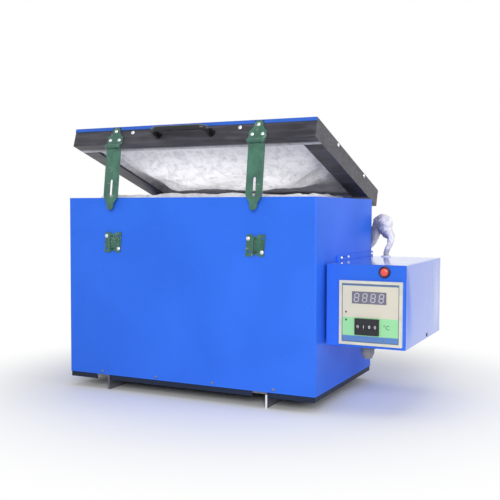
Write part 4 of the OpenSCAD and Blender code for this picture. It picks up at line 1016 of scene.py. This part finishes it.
def bow(x, y, z):
    along = math.sin(math.pi * (y - Y0) / (Y1 - Y0))
    tall = math.sin(math.pi * (z - Z0) / (Z1 - Z0)) ** 0.8 if Z0 < z < Z1 else 0
    if x > X1 - BEND:
        strip = 5 + 17 * ((Z1 - z) / (Z1 - Z0)) ** 1.4
        rise = SPRING * (1 - math.exp(-((y - Y0) / strip) ** 2)) * ease((Y1 - y) / 60)
        return Vector(((rise + 0.4 * along) * tall, 0, 0))
    if x < X0 + BEND:
        return Vector((0, 0, 0))
    return Vector((0, 0, CROWN * along * math.sin(math.pi * (x - X0) / (X1 - X0))))


DEPTH = 60
skins = []
for offset in (0, SHEET):
    for k in range(DEPTH):
        y = Y0 + (Y1 - Y0) * k / (DEPTH - 1)
        skins += [at(*(Vector((x, y, z)) + bow(x, y, z))) for x, z in section(offset)]
WIDE = len(section(0))
faces = net(DEPTH, WIDE)
inner_skin = DEPTH * WIDE
faces += [tuple(inner_skin + i for i in face) for face in net(DEPTH, WIDE)]
borders = [(k * WIDE + j, (k + 1) * WIDE + j) for k in range(DEPTH - 1) for j in (0, WIDE - 1)]
borders += [(k * WIDE + j, k * WIDE + j + 1) for k in (0, DEPTH - 1) for j in range(WIDE - 1)]
faces += [(a, b, inner_skin + b, inner_skin + a) for a, b in borders]
start = len(skins)
skins += [at(x, y, z) for z in (Z1 - 16, Z1) for x in (X0, X1) for y in (Y1, Y1 + SHEET)]
faces += [tuple(start + i for i in face) for face in (
    (0, 1, 3, 2), (4, 5, 7, 6), (0, 1, 5, 4), (2, 3, 7, 6), (0, 2, 6, 4), (1, 3, 7, 5))]
cover = piece("box_cover_sheet", skins, faces, "box_paint", "kiln")
cover.data.set_sharp_from_angle(angle=SHARP)
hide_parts("box_cover")

# %% [markdown]
# ## Turned pieces of the button and the lamps
#
# The push button is a threaded barrel with a polished ring and a domed red cap that slides in it. The
# lamps are small moulded lenses. All are round, so each is one outline turned about its axis.


# %% Turned pieces
def turned_piece(name, outline, centre, finish_name, body, ring=False, sides=56):
    points = []
    for radius, height in outline:
        for k in range(sides):
            a = 2 * math.pi * k / sides
            points.append(at(centre[0] + radius * math.cos(a), centre[1] - height,
                             centre[2] + radius * math.sin(a)))
    made = piece(name, points, net(len(outline), sides, ring, True), finish_name, body)
    made.data.set_sharp_from_angle(angle=SHARP)
    return made


BUTTON = (549.5, 34, 189)
button_ring = turned_piece("button_ring", [
    (6.3, -13), (6.3, 2.2), (6.6, 2.8), (7.2, 3.0), (7.9, 3.0), (8.4, 2.6), (8.75, 1.6), (8.75, 0.05),
    (6.85, 0.05), (6.85, -1.6), (9.6, -1.6), (9.6, -6), (6.85, -6), (6.85, -13)],
    BUTTON, "navy_plastic", "kiln", ring=True)
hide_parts("button_body")
dome = [(0, 5.4), (1.5, 5.36), (3, 5.2), (4.3, 4.85), (5.2, 4.35), (5.8, 3.7), (6.1, 2.9), (6.1, -10.9),
        (0, -10.9)]
red_cap = turned_piece("button_dome", dome, BUTTON, "red_plastic", "button")
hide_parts("button_cap")
for name, z, glass in (("lamp_upper", 128.3, "red_lamp"), ("lamp_lower", 116.3, "green_lamp")):
    lens_piece = turned_piece(name, [(0, 1.1), (0.7, 1.0), (1.2, 0.7), (1.5, 0.2), (1.5, -1), (0, -1)],
                              (492.3, 29, z), glass, "kiln", sides=32)
    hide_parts("indicator_lamps")

# %% [markdown]
# ## Ghost segments in the display
#
# An unlit seven-segment display still shows its segments as a paler ghost. The seven bars of a digit
# follow a rule and the digit repeats four times, so a small tree makes one bar, sets it seven times,
# slants the digit and repeats it along the window.

# %% The display tree
t, given = new_tree("ghost_digits", "Bar places", "Display", Bar_length=0.0042, Stroke=0.0011, Slant=0.12,
                    Pitch=0.0115, Digits=4)
show_tree = t
bar = geo(t, "MeshCube", {"Size": vector(t, given["Bar length"], given["Stroke"], 0.00012)})
turn = geo(t, "InputNamedAttribute", {"Name": "turn"}, data_type="FLOAT")
spread = geo(t, "MeshToPoints", {"Mesh": given["Bar places"]})
digit = geo(t, "InstanceOnPoints", {"Points": spread, "Instance": bar, "Rotation": vector(t, 0, 0, turn)})
digit = geo(t, "RealizeInstances", {0: digit})
lean = maths(t, "MULTIPLY", split(t, geo(t, "InputPosition"))[1], given["Slant"])
digit = geo(t, "SetPosition", {"Geometry": digit, "Offset": vector(t, lean)})
row = geo(t, "MeshLine", {"Count": given["Digits"], "Offset": vector(t, given["Pitch"])})
end_tree(t, geo(t, "InstanceOnPoints", {"Points": row, "Instance": digit}), given)

# %% Set the ghost digits
BAR = 6.0
bars = [(0, BAR, 0), (0, 0, 0), (0, -BAR, 0)]
bars += [(sx * BAR / 2 * 1.06, sy * BAR / 2, math.pi / 2) for sx in (-1, 1) for sy in (-1, 1)]
ghost = grow(show_tree, "display_digits", [(x / 1000, y / 1000, 0) for x, y, _ in bars],
             [("turn", "FLOAT", [angle for _, _, angle in bars])], Bar_length=0.005, Stroke=0.0016,
             Slant=0.1, Pitch=0.0126, Digits=4, Finish=finishes["ghost_segment"])
stand_up = Matrix(((1, 0, 0), (0, 0, -1), (0, 1, 0))).to_4x4()
ghost.data.transform(Matrix.Translation(at(508.6, 28.52, 150.3)) @ stand_up)
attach(ghost, "kiln")
print("ghost digits", len(ghost.data.polygons), "faces")

# %% [markdown]
# ## Digits on the set-point wheels
#
# Each wheel carries the digits 0 to 9 round its edge, 36 degrees apart, and one shows in the window.
# Text nodes make the ten digits, and a rule bends each flat digit onto the wheel: its height becomes
# an angle. The shown digit is an input, so the four wheels come from one tree.

# %% The wheel tree
RADIUS = 9.2
t, given = new_tree("wheel_digits", "Carrier", "Digits", Digit_size=0.006, Wheel_radius=RADIUS / 1000,
                    Shown_digit=0.0)
wheel_tree = t
arc = maths(t, "MULTIPLY", given["Wheel radius"], math.radians(36))
joined = add(t, "GeometryNodeJoinGeometry")
for number in range(10):
    letter = geo(t, "StringToCurves", {"String": str(number), "Size": given["Digit size"]},
                 align_x="CENTER", align_y="MIDDLE")
    letter = geo(t, "RealizeInstances", {0: letter})
    flat = geo(t, "FillCurve", {"Curve": letter})
    shift = maths(t, "MULTIPLY", maths(t, "SUBTRACT", given["Shown digit"], float(number)), arc)
    moved = add(t, "GeometryNodeTransform", {"Geometry": flat, "Translation": vector(t, 0, shift)})
    t.links.new(moved.outputs[0], joined.inputs[0])
fine = geo(t, "SubdivideMesh", {0: joined.outputs[0], "Level": 2})
spot = split(t, geo(t, "InputPosition"))
angle = maths(t, "DIVIDE", spot[1], given["Wheel radius"])
proud = maths(t, "ADD", given["Wheel radius"], 0.0002)
depth = maths(t, "MULTIPLY", maths(t, "COSINE", angle), proud)
rise = maths(t, "MULTIPLY", maths(t, "SINE", angle), proud)
bent = vector(t, spot[0], maths(t, "MULTIPLY", depth, -1.0), rise)
end_tree(t, geo(t, "SetPosition", {"Geometry": fine, "Position": bent}), given)

# %% Print the wheels
WHEEL_X, WHEEL_Z, PITCH = 511.6, 107.1, 8.8
for number, value in enumerate((0, 1, 0, 0)):
    body = f"wheel_{number + 1}"
    digits = grow(wheel_tree, f"wheel_digits_{number + 1}", [(0, 0, 0)], Digit_size=0.0066,
                  Wheel_radius=RADIUS / 1000, Shown_digit=float(value), Finish=finishes["white_ink"])
    digits.data.transform(Matrix.Translation(at(WHEEL_X + PITCH * number, 35.0, WHEEL_Z)))
    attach(digits, body)
    print(body, "digits", len(digits.data.polygons), "faces, shows", value)

# %% [markdown]
# ### Plate with the wheel windows
#
# A thin front plate leaves one small window for each wheel, so that only the set digit shows. It is a
# grid of strips with its four openings left out, pushed back to a plate's thickness.

# %% Window plate
EDGES_X = [506.5] + [WHEEL_X + PITCH * k + way * 2.7 for k in range(4) for way in (-1, 1)] + [543.1]
EDGES_Z = [95.1, WHEEL_Z - 3.4, WHEEL_Z + 3.4, 119.1]
points = [at(x, y, z) for y in (25.5, 26.0) for z in EDGES_Z for x in EDGES_X]
wide, layer = len(EDGES_X), len(EDGES_X) * len(EDGES_Z)
open_cells = {(1, c) for c in (1, 3, 5, 7)}
faces = []
for r in range(3):
    for c in range(wide - 1):
        if (r, c) in open_cells:
            continue
        a = r * wide + c
        cell = (a, a + 1, a + wide + 1, a + wide)
        faces += [cell, tuple(layer + i for i in cell)]
        for near, other in ((0, (r - 1, c)), (1, (r, c + 1)), (2, (r + 1, c)), (3, (r, c - 1))):
            outside = not (0 <= other[0] < 3 and 0 <= other[1] < wide - 1)
            if outside or other in open_cells:
                p, q = cell[near], cell[(near + 1) % 4]
                faces.append((p, q, layer + q, layer + p))
window_plate = piece("wheel_windows", points, faces, "black_plastic", "kiln", smooth=False)
settle(window_plate.modifiers.new("edge", "BEVEL"), width=0.00012, segments=2, limit_method="ANGLE")

# %% [markdown]
# ## Unit mark
#
# Beside the wheels the plate carries the mark for degrees Celsius. It is two characters of ink on the
# plate, so a text object is made a mesh and set on it.

# %% Unit mark
words = bpy.data.curves.new("unit_mark", "FONT")
settle(words, body="°C", size=0.009, offset=0.00012, align_x="CENTER", align_y="CENTER")
mark_mesh = frozen(put("unit_mark_text", words))
mark_mesh.transform(Matrix.Translation(at(554.4, 28.93, 107.2)) @ stand_up)
mark_mesh.materials.clear()
mark_mesh.materials.append(finishes["grey_ink"])
unit_mark = put("unit_mark", mark_mesh)
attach(unit_mark, "kiln")
